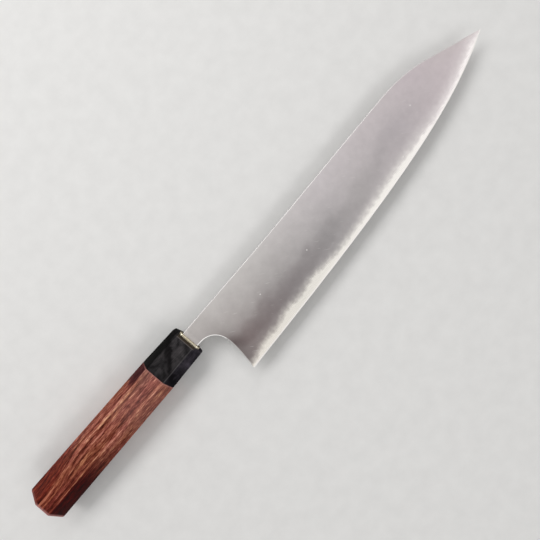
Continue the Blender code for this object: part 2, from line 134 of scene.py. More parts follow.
def set_curve(node, places):
    """Fills a Float Curve with (x, y) points."""
    points = node.mapping.curves[0].points
    while len(points) < len(places):
        points.new(0.5, 0.5)
    for point, place in zip(points, places):
        point.location = place
    node.mapping.update()
    return node


print("mid grey is", round(linear("#808080")[0], 3), "in linear light")

# %% [markdown]
# ## The blade's outline
# What tells this knife from others is its outline: a straight spine that rises a little to a
# crest, a rounded corner, a long clip down to the point, a belly that is nearly flat at the heel,
# and the hollow behind the heel, the choil. Each curve is one cubic Bezier between places that can
# be measured on a knife.

# %% Curves of the outline
NECK_HEIGHT = 12.7 * MM
NECK_LENGTH = 15.0 * MM
SPINE_Y = 5.7 * MM
SPINE_STRAIGHT_X = 68.0 * MM
CREST_RISE = 2.5 * MM
CREST_X = TIP_X - 73.0 * MM
CLIP_X = TIP_X - 38.0 * MM
CLIP_DROP = 6.2 * MM
TIP_Y = -11.8 * MM
CREST_ROUNDNESS = 0.62
CREST_PULL = 0.2
EDGE_HEEL_ANGLE = 2.2 * DEGREE
EDGE_TIP_ANGLE = 22.2 * DEGREE
EDGE_HEEL_PULL = 0.58
EDGE_TIP_PULL = 0.19
CHOIL_START = 4.0 * MM
CHOIL_BITE = 3.0 * MM
CHOIL_DEPTH = 15.0 * MM
CHOIL_ROUNDNESS = 0.62
HEEL_LEAN = 7.5 * DEGREE
TANG_SHOULDER = 4.0 * MM
TANG_ROOT_Y = 5.1 * MM
TANG_END_Y = 2.5 * MM

NECK_Y = SPINE_Y - NECK_HEIGHT
CREST_Y = SPINE_Y + CREST_RISE
CLIP_Y = CREST_Y - CLIP_DROP
BLADE_LENGTH = TIP_X - NECK_LENGTH


def bezier(start, start_handle, end_handle, end, count):
    """Points on one cubic curve, as rows of x and y."""
    t = np.linspace(0, 1, count)[:, None]
    corners = [np.array(p) for p in (start, start_handle, end_handle, end)]
    weights = [(1 - t) ** 3, 3 * (1 - t) ** 2 * t, 3 * (1 - t) * t ** 2, t ** 3]
    return sum(w * c for w, c in zip(weights, corners))


def spine_path():
    """Tang, straight spine, rise to the crest, rounded corner and straight clip."""
    rise = CREST_PULL * (CREST_X - SPINE_STRAIGHT_X)
    foot, crest, clip = (SPINE_STRAIGHT_X, SPINE_Y), (CREST_X, CREST_Y), (CLIP_X, CLIP_Y)
    climb = bezier(foot, (foot[0] + rise, SPINE_Y), (CREST_X - rise, CREST_Y), crest, 90)
    meeting = CLIP_X - CLIP_DROP * (TIP_X - CLIP_X) / (CLIP_Y - TIP_Y)
    crest_handle = (CREST_X + CREST_ROUNDNESS * (meeting - CREST_X), CREST_Y)
    clip_handle = (
        CLIP_X - CREST_ROUNDNESS * (CLIP_X - meeting), CLIP_Y + CREST_ROUNDNESS * CLIP_DROP
    )
    corner = bezier(crest, crest_handle, clip_handle, clip, 40)
    tang = [(TANG_END_X, TANG_END_Y), (-TANG_SHOULDER, TANG_ROOT_Y), (0, SPINE_Y)]
    return np.vstack([tang, climb, corner[1:], [(TIP_X, TIP_Y)]])


def edge_path():
    """The cutting edge from the heel to the tip."""
    heel_pull = EDGE_HEEL_PULL * BLADE_LENGTH
    tip_pull = EDGE_TIP_PULL * BLADE_LENGTH
    heel_handle = (NECK_LENGTH + heel_pull, HEEL_Y + heel_pull * math.tan(EDGE_HEEL_ANGLE))
    tip_handle = (TIP_X - tip_pull, TIP_Y - tip_pull * math.tan(EDGE_TIP_ANGLE))
    return bezier((NECK_LENGTH, HEEL_Y), heel_handle, tip_handle, (TIP_X, TIP_Y), 260)


def choil_path():
    """From the heel up the choil to the neck, and back along the tang's underside."""
    heel = np.array((NECK_LENGTH, HEEL_Y))
    bite = np.array((NECK_LENGTH + CHOIL_BITE, NECK_Y - CHOIL_DEPTH))
    neck = np.array((CHOIL_START, NECK_Y))
    pull = (bite[1] - heel[1]) / 3
    lower = bezier(heel, heel + (pull * math.tan(HEEL_LEAN), pull), bite - (0, pull), bite, 24)
    bite_handle = bite + (0, CHOIL_ROUNDNESS * CHOIL_DEPTH)
    neck_handle = neck + (CHOIL_ROUNDNESS * (bite[0] - neck[0]), 0)
    upper = bezier(bite, bite_handle, neck_handle, neck, 34)
    tang = [(0, NECK_Y), (-TANG_SHOULDER, -TANG_ROOT_Y), (TANG_END_X, -TANG_END_Y)]
    return np.vstack([lower, upper[1:], tang])


SPINE, EDGE, CHOIL = spine_path(), edge_path(), choil_path()
print(f"outline of {len(SPINE) + len(EDGE) + len(CHOIL)} points")

# %% [markdown]
# ## The lamination line
# The blade is a sandwich: a hard core between two soft layers that were forge-welded to it. The
# grind cuts through the soft layer and lays the core bare along the edge. The weld was hammered,
# so the line where they meet wanders by two or three millimetres. It is drawn as heights over the
# edge, joined up, with small waves on top. Near the tip the blade is so thin that no soft layer is
# left, and the line ends.

# %% Where the core comes out
LINE_PLACES_MM = (
    (15, 2.7), (20, 3.6), (31, 5.8), (44, 5.4), (58, 7.4), (71, 5.8), (84, 7.4), (98, 5.5),
    (111, 4.2), (137, 4.6), (165, 5.3), (178, 5.4), (191, 4.8), (204, 4.5), (217, 3.0),
    (244, 3.0), (257, 3.6), (284, 3.0),
)
LINE_X, LINE_HEIGHT = np.array(LINE_PLACES_MM).T * MM
LINE_START_X = NECK_LENGTH - 6.0 * MM
LINE_END_X = TIP_X - 14.0 * MM
LINE_STEP = 0.45 * MM
WAVES = ((0.2 * MM, 8 * MM, 3), (0.12 * MM, 2.2 * MM, 8))
LEAST_WAVE = 0.2


def smooth_noise(x, spacing, seed):
    """Random values a spacing apart, joined by a smooth curve."""
    values = np.random.RandomState(seed).uniform(-1, 1, 400)
    place = x / spacing + 60
    cell = np.floor(place).astype(int)
    t = place - cell
    t = t * t * (3 - 2 * t)
    return values[cell] * (1 - t) + values[cell + 1] * t


def y_on(path, x):
    """Height of a path at x, straight between its points."""
    return np.interp(x, path[:, 0], path[:, 1])


def line_height(x):
    """Height of the lamination line over the edge, with waves that shrink where it is low."""
    plain = np.interp(x, LINE_X, LINE_HEIGHT)
    waves = sum(height * smooth_noise(x, spacing, seed) for height, spacing, seed in WAVES)
    return plain + waves * np.clip(plain / LINE_HEIGHT.max(), LEAST_WAVE, 1)


line_x = np.append(np.arange(LINE_START_X, LINE_END_X, LINE_STEP), LINE_END_X)
LINE = np.column_stack([line_x, y_on(EDGE, line_x) + line_height(line_x)])
print(f"line {LINE[:, 1].min() / MM:.1f} mm below the axis at the heel, {len(LINE)} points")

# %% [markdown]
# ## A flat plan of the blade
# The ground surface is a height over a flat plan, so the plan comes first. A plain grid with the
# choil cut out by a Boolean leaves slivers along the cut, just where the light shows them.
# Delaunay triangulation takes any outline, keeps the lamination line as an edge and joins up the
# loose points inside. At its end the line goes straight up to the clip, which closes the soft
# layer. The loose points lie in rows along the blade, and in narrow rings inside the spine and
# choil, where the corner is rounded.

# %% Points of the plan
SPACING = 1.1 * MM
CHOIL_SPACING = 0.8 * MM
COLUMN_STEP = 2.2 * MM
ROW_SHARES = np.concatenate([[0.012, 0.03, 0.055], np.linspace(0.08, 0.97, 34)])
NECK_STEP = 3.0 * MM
NECK_ROWS = 8
RIM_RINGS = np.array([0.02, 0.06, 0.12, 0.2, 0.3, 0.42]) * MM
CLEAR_OF_RIM = 0.75 * MM
CLEAR_OF_EDGE = 0.3 * MM
CHOIL_SHARE = 0.75


def evenly(path, spacing):
    """The same polyline with extra points, none further apart than spacing."""
    points = [path[0]]
    for a, b in zip(path, path[1:]):
        steps = max(1, math.ceil(np.linalg.norm(b - a) / spacing))
        points += [a + (b - a) * k / steps for k in range(1, steps + 1)]
    return np.array(points)


def distance_to(path, points):
    """Distance of each point to the nearest stretch of a polyline."""
    nearest = np.full(len(points), np.inf)
    for a, b in zip(path, path[1:]):
        along = b - a
        t = np.clip(((points - a) @ along) / (along @ along), 0, 1)
        nearest = np.minimum(nearest, np.linalg.norm(points - (a + t[:, None] * along), axis=1))
    return nearest


end_top = y_on(SPINE, LINE_END_X)
clip_lean = math.hypot(TIP_X - CLIP_X, CLIP_Y - TIP_Y) / (TIP_X - CLIP_X)
end_heights = np.concatenate([
    np.arange(y_on(LINE, LINE_END_X) + LINE_STEP, end_top - CLEAR_OF_RIM, LINE_STEP),
    end_top - clip_lean * RIM_RINGS[::-1],
    [end_top + MM],
])
border = np.vstack([LINE, [(LINE_END_X, height) for height in end_heights]])

spine = evenly(SPINE, SPACING)
edge = evenly(EDGE, SPACING)
choil = evenly(CHOIL, CHOIL_SPACING)
choil_top = choil[(choil[:, 0] > MM) & (choil[:, 1] > NECK_Y - CHOIL_SHARE * CHOIL_DEPTH)]
outline = np.vstack([choil[:0:-1], edge[:-1], spine[:0:-1]])

columns = np.arange(NECK_LENGTH - 2 * MM, TIP_X - MM, COLUMN_STEP)
foot, top = y_on(EDGE, columns), y_on(SPINE, columns)
rows = [np.column_stack([columns, foot + share * (top - foot)]) for share in ROW_SHARES]
neck_columns = np.arange(TANG_END_X, NECK_LENGTH, NECK_STEP)
neck_x, neck_y = np.meshgrid(neck_columns, np.linspace(NECK_Y, SPINE_Y, NECK_ROWS))
loose = np.vstack(rows + [np.column_stack([neck_x.ravel(), neck_y.ravel()])])
loose = loose[distance_to(np.vstack([outline, outline[:1]]), loose) > CLEAR_OF_RIM]

rings = []
for path in (spine, choil):
    along = np.gradient(path, axis=0)
    normal = np.column_stack([-along[:, 1], along[:, 0]])
    normal /= np.linalg.norm(along, axis=1)[:, None]
    rings += [path - normal * ring for ring in RIM_RINGS]
rings = np.vstack(rings)
rings = rings[distance_to(edge, rings) > CLEAR_OF_EDGE]
print(f"{len(outline)} outline, {len(rings)} ring and {len(loose)} loose points")

# %% Triangulate the plan
TOUCHING = 1e-8


def only_used(points, triangles):
    """Drops the points that no triangle uses and numbers the others anew."""
    used = np.unique(triangles)
    number = np.zeros(len(points), int)
    number[used] = np.arange(len(used))
    return points[used], number[triangles]


edges_of_line = [(k, k + 1) for k in range(len(border) - 1)]
all_points = [Vector(p) for p in np.vstack([border, outline, rings, loose])]
face = [list(range(len(border), len(border) + len(outline)))]
flat_points, _, flat_faces, *_ = delaunay_2d_cdt(all_points, edges_of_line, face, 1, TOUCHING)
flat_points = np.array([tuple(p) for p in flat_points])
PLAN, TRIANGLES = only_used(flat_points, np.array([tuple(f) for f in flat_faces]))
print(f"plan of {len(PLAN)} points and {len(TRIANGLES)} triangles")

# %% [markdown]
# ## What each point of the plan knows
# Grind and finish both follow the blade's own shape. So each point stores its share of the blade's
# height, the lamination line's share below it, its distance to the spine or choil and to the
# choil alone, and its height over the edge and over the line. The last is sunk towards the tip,
# which is core steel all over. Geometry Nodes and the materials read these by name.

# %% Store the measures and split off the soft layer
TIP_SINK = 2.2 * MM
SINK_LENGTH = 27.0 * MM
SINK_X = TIP_X - SINK_LENGTH
LEAST_HEIGHT = 1e-6


def plan_mesh(name, points, triangles):
    """A flat mesh of the plan with its measures as attributes."""
    mesh = bpy.data.meshes.new(name)
    flat = np.column_stack([points, np.zeros(len(points))])
    mesh.from_pydata(flat.tolist(), [], triangles.tolist())
    x, y = points[:, 0], points[:, 1]
    foot, line = y_on(EDGE, x), y_on(LINE, x)
    height = np.maximum(y_on(SPINE, x) - foot, LEAST_HEIGHT)
    measures = {
        "height_share": np.clip((y - foot) / height, 0, 1),
        "line_share": np.clip(np.where(x < LINE_END_X, (line - foot) / height, 1), 0, 1),
        "rim_distance": np.minimum(distance_to(spine, points), distance_to(choil, points)),
        "choil_distance": distance_to(choil_top, points),
        "over_edge": y - foot,
        "over_line": y - line - TIP_SINK * np.clip((x - SINK_X) / SINK_LENGTH, 0, 1),
    }
    for label, values in measures.items():
        attribute = mesh.attributes.new(label, "FLOAT", "POINT")
        attribute.data.foreach_set("value", values.astype(np.float32))
    return mesh


centre = PLAN[TRIANGLES].mean(axis=1)
on_line = PLAN[:, 1] < y_on(LINE, PLAN[:, 0]) + TOUCHING
on_line |= PLAN[:, 0] > LINE_END_X - TOUCHING
soft = (centre[:, 1] > y_on(LINE, centre[:, 0])) & (centre[:, 0] < LINE_END_X)
soft &= ~on_line[TRIANGLES].all(axis=1)

whole_plan = plan_mesh("whole plan", PLAN, TRIANGLES)
soft_plan = plan_mesh("soft layer plan", *only_used(PLAN, TRIANGLES[soft]))
print(f"the soft layer takes {soft.sum()} of {len(soft)} triangles")

# %% [markdown]
# ## The grind, as Geometry Nodes
# A smith forges the distal taper, which makes the blade thinner from neck to tip, and the wheel
# grinds the sides down to the edge. Both are rules over the plan. The tree gives each point its
# thickness from them, rounds the corner along spine and choil, and closes plan and copy to a
# solid. It makes the core and both soft layers, so they fit along a seam that is never wider than
# half the soft layer, which sculpting by hand couldn't promise. Its sums are written as steps, and
# a loop turns them into Math nodes.

# %% Build the grinding tree
GRIND_SIZES = {
    "Tang": 2.2 * MM,
    "Neck": 3.6 * MM,
    "Heel": 3.0 * MM,
    "Crest": 1.9 * MM,
    "Clip": 1.4 * MM,
    "Tip": 0.3 * MM,
    "Behind edge": 0.22 * MM,
    "Ground share": 0.55,
    "Grind roundness": 1.3,
    "Edge bevel": math.tan(13 * DEGREE),
    "Corner ease": 0.36 * MM,
    "Weld seam": 0.01 * MM,
    "Side": 1.0,
}
TAPER_STATIONS = (
    (TANG_END_X, "Tang"), (0.0, "Neck"), (NECK_LENGTH, "Heel"), (CREST_X, "Crest"),
    (CLIP_X, "Clip"), (TIP_X, "Tip"),
)
LAST = "the step before"


def work_out(tree, *steps):
    """A row of sums. Each step is an operation and its numbers, and LAST is the step before."""
    result = None
    for operation, *numbers in steps:
        numbers = [result if number is LAST else number for number in numbers]
        result = add_node(tree, "Math", numbers, operation=operation)
    return result


grind_tree = tree = bpy.data.node_groups.new("grind a steel layer", "GeometryNodeTree")
new_socket = tree.interface.new_socket
new_socket("Plan", in_out="INPUT", socket_type="NodeSocketGeometry")
new_socket("Core", in_out="INPUT", socket_type="NodeSocketBool")
new_socket("Finish", in_out="INPUT", socket_type="NodeSocketMaterial")
for label, size in GRIND_SIZES.items():
    new_socket(label, in_out="INPUT", socket_type="NodeSocketFloat").default_value = size
new_socket("Layer", in_out="OUTPUT", socket_type="NodeSocketGeometry")
given = add_node(tree, "NodeGroupInput").outputs
print(f"tree with {len(given) - 1} named inputs")

# %% Thickness from the distal taper
position = add_node(tree, "GeometryNodeInputPosition")
place = add_node(tree, "SeparateXYZ", [position]).outputs

thickness = given["Tang"]
for (start_x, start), (end_x, end) in zip(TAPER_STATIONS, TAPER_STATIONS[1:]):
    there = add_node(tree, "MapRange", [place["X"], start_x, end_x, given[start], given[end]])
    thickness = work_out(tree, ("SUBTRACT", there, given[start]), ("ADD", thickness, LAST))
half = work_out(tree, ("MULTIPLY", thickness, 0.5))
half_edge = work_out(tree, ("MULTIPLY", given["Behind edge"], 0.5))
above_edge = work_out(tree, ("SUBTRACT", half, half_edge))

# %% Height of the ground side, at a point and at the lamination line below it
known = {
    label: add_node(tree, "GeometryNodeInputNamedAttribute", {"Name": label})
    for label in ("height_share", "line_share", "over_edge", "rim_distance")
}
ground_side, line_side = (
    work_out(
        tree,
        ("DIVIDE", known[label], given["Ground share"]),
        ("MINIMUM", LAST, 1.0),
        ("SUBTRACT", 1.0, LAST),
        ("POWER", LAST, given["Grind roundness"]),
        ("SUBTRACT", 1.0, LAST),
        ("MULTIPLY", LAST, above_edge),
        ("ADD", LAST, half_edge),
    )
    for label in ("height_share", "line_share")
)
bevel = work_out(tree, ("MULTIPLY", known["over_edge"], given["Edge bevel"]))
side = work_out(tree, ("MINIMUM", ground_side, bevel))

# %% Round the corner along the spine and choil with a quarter circle
MOST_EASE = 0.6
LEAST_RADIUS = 1e-7

ease = work_out(tree, ("MULTIPLY", side, MOST_EASE), ("MINIMUM", LAST, given["Corner ease"]))
eased_side = work_out(
    tree,
    ("MAXIMUM", ease, LEAST_RADIUS),
    ("DIVIDE", known["rim_distance"], LAST),
    ("MINIMUM", LAST, 1.0),
    ("SUBTRACT", 1.0, LAST),
    ("POWER", LAST, 2.0),
    ("SUBTRACT", 1.0, LAST),
    ("POWER", LAST, 0.5),
    ("SUBTRACT", 1.0, LAST),
    ("MULTIPLY", LAST, ease),
    ("SUBTRACT", side, LAST),
)

# %% Core or soft layer, its outer and inner face
core_side = work_out(tree, ("MINIMUM", eased_side, line_side))
core_back = work_out(tree, ("MULTIPLY", core_side, -1.0))
soft_back = work_out(
    tree,
    ("SUBTRACT", eased_side, line_side),
    ("MULTIPLY", LAST, 0.5),
    ("MINIMUM", LAST, given["Weld seam"]),
    ("ADD", line_side, LAST),
)
outer, inner = (
    add_node(tree, "GeometryNodeSwitch", [given["Core"], of_soft, of_core], input_type="FLOAT")
    for of_soft, of_core in ((eased_side, core_side), (soft_back, core_back))
)
inner = work_out(tree, ("MINIMUM", inner, outer))

# %% Close the plan to a solid and set its heights
WELD_WITHIN = 1e-6

lifting = {"Mesh": given["Plan"], "Offset": (0, 0, 1), "Offset Scale": MM, "Individual": False}
lifted = add_node(tree, "GeometryNodeExtrudeMesh", lifting, mode="FACES")
under = add_node(tree, "GeometryNodeFlipFaces", [given["Plan"]])
closed = add_node(tree, "GeometryNodeJoinGeometry", [lifted])
tree.links.new(under.outputs[0], closed.inputs[0])
welded = add_node(tree, "GeometryNodeMergeByDistance", {0: closed, "Distance": WELD_WITHIN})
on_top = add_node(tree, "FunctionNodeCompare", [place["Z"], MM / 2], operation="GREATER_THAN")
level = add_node(tree, "GeometryNodeSwitch", [on_top, inner, outer], input_type="FLOAT")
turned = work_out(tree, ("MULTIPLY", level, given["Side"]))
target = add_node(tree, "CombineXYZ", [place["X"], place["Y"], turned])
shaped = add_node(tree, "GeometryNodeSetPosition", {0: welded, "Position": target})
is_left = add_node(tree, "FunctionNodeCompare", [given["Side"], 0.0], operation="LESS_THAN")
facing = add_node(tree, "GeometryNodeFlipFaces", [shaped, is_left])
whole = add_node(tree, "GeometryNodeRealizeInstances", [facing])
finished = add_node(tree, "GeometryNodeSetMaterial", {0: whole, "Material": given["Finish"]})
add_node(tree, "NodeGroupOutput", [finished])
print(f"grinding tree of {len(tree.nodes)} nodes")

# %% [markdown]
# ## Recipes for the finishes
# Every pattern has a real size, such as the width of a grain line. A Mapping node that moves the
# origin to the knife's own and counts in millimetres lets sizes be written as they are: a noise of
# scale 1 / 3 changes about every 3 mm. Two more recipes come back in each finish. Grain, fibre and
# brushing are noise drawn out along the knife. Wear, painted shade and painted highlights are a
# colour laid over the tone, where a measure, such as the distance to a rim, runs from one value to
# another.

# %% Millimetres, drawn-out noise and paint
NOISE = (0.3, 0.7)


def new_finish(name):
    """An empty material with its Principled shader. The name says material and process."""
    material = bpy.data.materials.new(name)
    material.use_nodes = True
    return material, material.node_tree, material.node_tree.nodes["Principled BSDF"]


def knife_mm(tree):
    """Object coordinates in millimetres from the knife's own origin."""
    place = add_node(tree, "TexCoord").outputs["Object"]
    to_mm = {"Vector": place, "Location": -KNIFE_ORIGIN / MM, "Scale": [1 / MM] * 3}
    return add_node(tree, "Mapping", to_mm)


def drawn_out(tree, place, stretch, detail, turn=0.0, roughness=0.5):
    """Noise, mostly from 0.3 to 0.7, that changes stretch times per millimetre on each axis."""
    squeezed = {"Vector": place, "Rotation": (0, 0, turn), "Scale": stretch}
    place = add_node(tree, "Mapping", squeezed)
    noise = {"Vector": place, "Scale": 1.0, "Detail": detail, "Roughness": roughness}
    return add_node(tree, "TexNoise", noise)


def paint(tree, tone, colour, *covers, blend="MIX", ease="LINEAR"):
    """Lays a colour over a tone, or multiplies it in, where all covers meet.

    A cover is a node, or a measure, where it is clear, where it is full and, if they aren't 0
    and 1, how much it covers at either.
    """
    covered = None
    for cover in covers:
        if isinstance(cover, tuple):
            cover = add_node(tree, "MapRange", cover, interpolation_type=ease)
        covered = work_out(tree, ("MULTIPLY", covered, cover)) if covered else cover
    colours = {0: covered, 6: tone, 7: linear(colour)}
    return add_node(tree, "Mix", colours, data_type="RGBA", blend_type=blend)


print(f"patterns start at {tuple(round(c / MM, 1) for c in KNIFE_ORIGIN)} mm")

# %% [markdown]
# ## One tone for the whole ground side
# Both steels are ground and then rubbed with stone mud. That leaves the flat near the spine light
# and even, the hollow of the grind a cloudy darker grey, and the core along the edge bright and a
# little creamy. The darker hollow is partly that haze and partly a painted reflection of darker
# surroundings in the curved grind. The lightest tone, at the blade's root by the collar, is a
# painted highlight. The mud blurs the lamination line to a haze some 6 mm wide, with a longer tail
# towards the point, so the two materials have to agree there, and one function mixes the tones for
# both. Ramps along the blade give the light, dark and bright tone. The share of the height mixes
# the first two, the height over the line the third, and noise lets both borders wander, because a
# hand did it. The dark climbs at the heel and past the middle.

# %% Tones of the ground side
# The first light stop, at the blade's root by the collar, is a painted highlight.
LIGHT_TONES = (
    (0.0, "#F2ECE8"), (0.018, "#BFBAB7"), (0.25, "#BDB9B7"), (0.48, "#BDB7B8"),
    (0.72, "#C0B8B9"), (0.81, "#BBB1B4"), (0.92, "#BEB5B5"), (1.0, "#CCC3C2"),
)
# The dark tones, with DARK_AT_SHARE and DARK_CLIMBS below, are partly the haze of the stone mud and
# partly a painted reflection in the hollow of the grind.
DARK_TONES = (
    (0.06, "#635958"), (0.1, "#7B706F"), (0.25, "#847E7E"), (0.4, "#938F8F"),
    (0.53, "#A6A1A1"), (0.7, "#ADA6A8"), (0.88, "#C1B7B9"),
)
BAND_TONES = (
    (0.1, "#E8E2D9"), (0.25, "#E3DFD7"), (0.48, "#EDE9E3"), (0.67, "#F0ECE7"), (0.8, "#F8F2F0"),
)
DARK_AT_SHARE = (
    (0.0, 0.86), (0.18, 0.86), (0.29, 1.0), (0.36, 0.95), (0.54, 0.52), (0.74, 0.25), (0.95, 0.0),
)
DRIFT_SHARE = 0.24
DARK_CLIMBS = ((28.0, 18.0, 0.0, -0.1), (145.0, 195.0, 0.0, -0.2))
MOTTLE = (0.95, 1.05)
HAZE_WANDER = 4.4
HAZE_RIMS = (4.2, -2.0)
HAZE_FALL = 2.1
HAZE_TAIL = (110.0, 190.0, 1.0, 0.48)


def measure(tree, name):
    """A measure that the plan stored."""
    return add_node(tree, "Attribute", attribute_name=name).outputs["Fac"]


def blade_tone(tree):
    """Colour of the ground side from spine to edge, the same in both steels."""
    mm = knife_mm(tree)
    along_mm = add_node(tree, "SeparateXYZ", [mm]).outputs["X"]
    along = work_out(tree, ("DIVIDE", along_mm, TIP_X / MM))
    light_tone, dark_tone, band_tone = (
        set_ramp(add_node(tree, "ValToRGB", [along]), tones)
        for tones in (LIGHT_TONES, DARK_TONES, BAND_TONES)
    )
    drift, mottle, haze = (
        drawn_out(tree, mm, [1 / spacing] * 3, detail, roughness=roughness)
        for spacing, detail, roughness in ((16.0, 3.0, 0.5), (6.0, 6.0, 0.65), (3.4, 4.0, 0.55))
    )
    share = measure(tree, "height_share")
    share = work_out(tree, ("ADD", drift, -0.5), ("MULTIPLY_ADD", LAST, DRIFT_SHARE, share))
    for climb in DARK_CLIMBS:
        lift = add_node(tree, "MapRange", [along_mm, *climb], interpolation_type="SMOOTHSTEP")
        share = work_out(tree, ("ADD", share, lift))
    darkness = set_curve(add_node(tree, "FloatCurve", {"Value": share}), DARK_AT_SHARE)
    tone = add_node(tree, "Mix", {0: darkness, 6: light_tone, 7: dark_tone}, data_type="RGBA")
    mottle = add_node(tree, "MapRange", [mottle, *NOISE, *MOTTLE])
    tone = add_node(tree, "VectorMath", [tone, mottle], operation="MULTIPLY")

    over_line = work_out(tree, ("DIVIDE", measure(tree, "over_line"), MM))
    over_line = work_out(tree, ("ADD", haze, -0.5), ("MULTIPLY_ADD", LAST, HAZE_WANDER, over_line))
    tail = add_node(tree, "MapRange", [along_mm, *HAZE_TAIL])
    over_line = work_out(tree, ("MULTIPLY", over_line, tail), ("MINIMUM", over_line, LAST))
    in_band = add_node(tree, "MapRange", [over_line, *HAZE_RIMS])
    in_band = work_out(tree, ("POWER", in_band, HAZE_FALL))
    return add_node(tree, "Mix", {0: in_band, 6: tone, 7: band_tone}, data_type="RGBA")


print(f"the ground side has {len(LIGHT_TONES + DARK_TONES + BAND_TONES)} tones")

# %% [markdown]
# ## Soft steel, satin ground
# The outer layers are low-carbon steel. Over the shared tone they have a few bright nicks and fine
# slanting scratches from wiping. Along the eased, polished spine and choil runs a thin painted
# highlight, brightest at the choil. Brushing runs along the blade and shows in the roughness. A
# real scratch is a few hundredths of a millimetre wide, so these are drawn coarser, to show at all.

# %% Satin soft steel
NICK_SPACING = 17.0
SCRATCH_TURN = 38 * DEGREE
SCRATCH_STRETCH = (0.16, 2.4, 1.0)
SATIN_DEPTH = 0.01 * MM


def brush(tree, shader, steel, stretch, turn, roughness, strength):
    """Brushing along the blade, in the roughness and relief of a steel."""
    grain = drawn_out(tree, knife_mm(tree), stretch, 2.0, turn)
    rough = add_node(tree, "MapRange", [grain, *NOISE, *roughness])
    bump = add_node(tree, "Bump", {"Height": grain, "Strength": strength, "Distance": SATIN_DEPTH})
    fill(tree, shader, {"Base Color": steel, "Roughness": rough, "Normal": bump, "Metallic": 1.0})


soft_steel, tree, shader = new_finish("satin ground soft steel")
mm = knife_mm(tree)
nick = add_node(tree, "TexVoronoi", {"Vector": mm, "Scale": 1 / NICK_SPACING, "Randomness": 1.0})
slanting = add_node(tree, "Mapping", {"Vector": mm, "Rotation": (0, 0, SCRATCH_TURN)})
scratch = drawn_out(tree, slanting, SCRATCH_STRETCH, 0.0)
steel = blade_tone(tree)
# The last two colours are painted highlights: a light line along the spine and choil rims, near
# white at the choil, partly the rims' polish.
for colour, cover in (
    ("#EEEAE7", (nick, 0.035, 0.018, 0.0, 0.6)),
    ("#D9D5D2", (scratch, 0.79, 0.87, 0.0, 0.36)),
    ("#CBC8C6", (measure(tree, "rim_distance"), 0.75 * MM, 0.35 * MM)),
    ("#FFFDFA", (measure(tree, "choil_distance"), 0.65 * MM, 0.4 * MM)),
):
    steel = paint(tree, steel, colour, cover)
brush(
    tree, shader, steel,
    stretch=(0.03, 3.0, 3.0), turn=4 * DEGREE, roughness=(0.33, 0.42), strength=0.12,
)
print(f"{soft_steel.name}: {len(tree.nodes)} nodes")

# %% [markdown]
# ## Hard steel, polished
# The core is high-carbon steel, bare along the edge, finer ground than the soft layers and less
# rough. Its last three quarters of a millimetre are the sharpened bevel, which is brightest.

# %% Polished core steel
BEVEL = (0.9 * MM, 0.65 * MM)

hard_steel, tree, shader = new_finish("polished hard core steel")
steel = paint(tree, blade_tone(tree), "#EEEAE6", (measure(tree, "over_edge"), *BEVEL))
brush(
    tree, shader, steel,
    stretch=(0.05, 4.0, 4.0), turn=-3 * DEGREE, roughness=(0.24, 0.34), strength=0.08,
)
print(f"{hard_steel.name}: {len(tree.nodes)} nodes")

# %% [markdown]
# ## Make the three layers
# The tree runs once for each layer. Its result becomes a plain mesh, because the exported model
# keeps no modifiers, and is carried to its place. Edges sharper than 30 degrees stay crisp.

# %% Grind core and soft layers
SMOOTH_BELOW = 30 * DEGREE


def add_object(name, data):
    """An object in the scene, with a mesh, lamp or camera."""
    obj = bpy.data.objects.new(name, data)
    bpy.context.scene.collection.objects.link(obj)
    return obj


def plain_mesh(piece):
    """The mesh that a piece's modifiers make."""
    bpy.context.view_layer.update()
    depsgraph = bpy.context.evaluated_depsgraph_get()
    return bpy.data.meshes.new_from_object(
        piece.evaluated_get(depsgraph), preserve_all_data_layers=True, depsgraph=depsgraph
    )


def settle(obj, body="root"):
    """Carries a piece drawn about the knife's own origin to its place and lets it ride."""
    obj.data.transform(Matrix.Translation(KNIFE_ORIGIN))
    obj.data.shade_smooth()
    obj.data.set_sharp_from_angle(angle=SMOOTH_BELOW)
    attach(obj, body)
    size = np.ptp([v.co for v in obj.data.vertices], axis=0) / MM
    print(f"{obj.name}: {size.round(1)} mm, {len(obj.data.polygons)} faces")


def grind_layer(name, plan, node, slot_name, **sizes):
    """Runs the grinding tree on a plan. The layer stands for a CAD node."""
    layer = add_object(name, plan.copy())
    modifier = layer.modifiers.new("grind", "NODES")
    modifier.node_group = grind_tree
    for item in grind_tree.interface.items_tree:
        if item.name in sizes:
            modifier[item.identifier] = sizes[item.name]
    solid = plain_mesh(layer)
    layer.modifiers.remove(modifier)
    layer.data = solid
    settle(layer)
    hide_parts(node)


grind_layer("blade_core", whole_plan, "core_steel", "core_steel", Core=True, Finish=hard_steel)
for name, node, turn in (
    ("blade_soft_layer_right", "cladding_right", 1.0),
    ("blade_soft_layer_left", "cladding_left", -1.0),
):
    soft_sizes = {"Core": False, "Side": turn, "Finish": soft_steel}
    grind_layer(name, soft_plan, node, "cladding_steel", **soft_sizes)

# %% [markdown]
# ## The eight-sided handle
# A wa handle is planed from a square bar: first the taper, then the four corners, so its eight
# facets are flat and meet in ridges that the thumb has softened a little. A loft through
# eight-cornered sections gives exactly that, and a Bevel modifier rounds the ridges. The facets
# widen behind the grip, so they take their sizes from sections of their own. Ferrule and grip
# share the loft, because on the bench they are planed together.

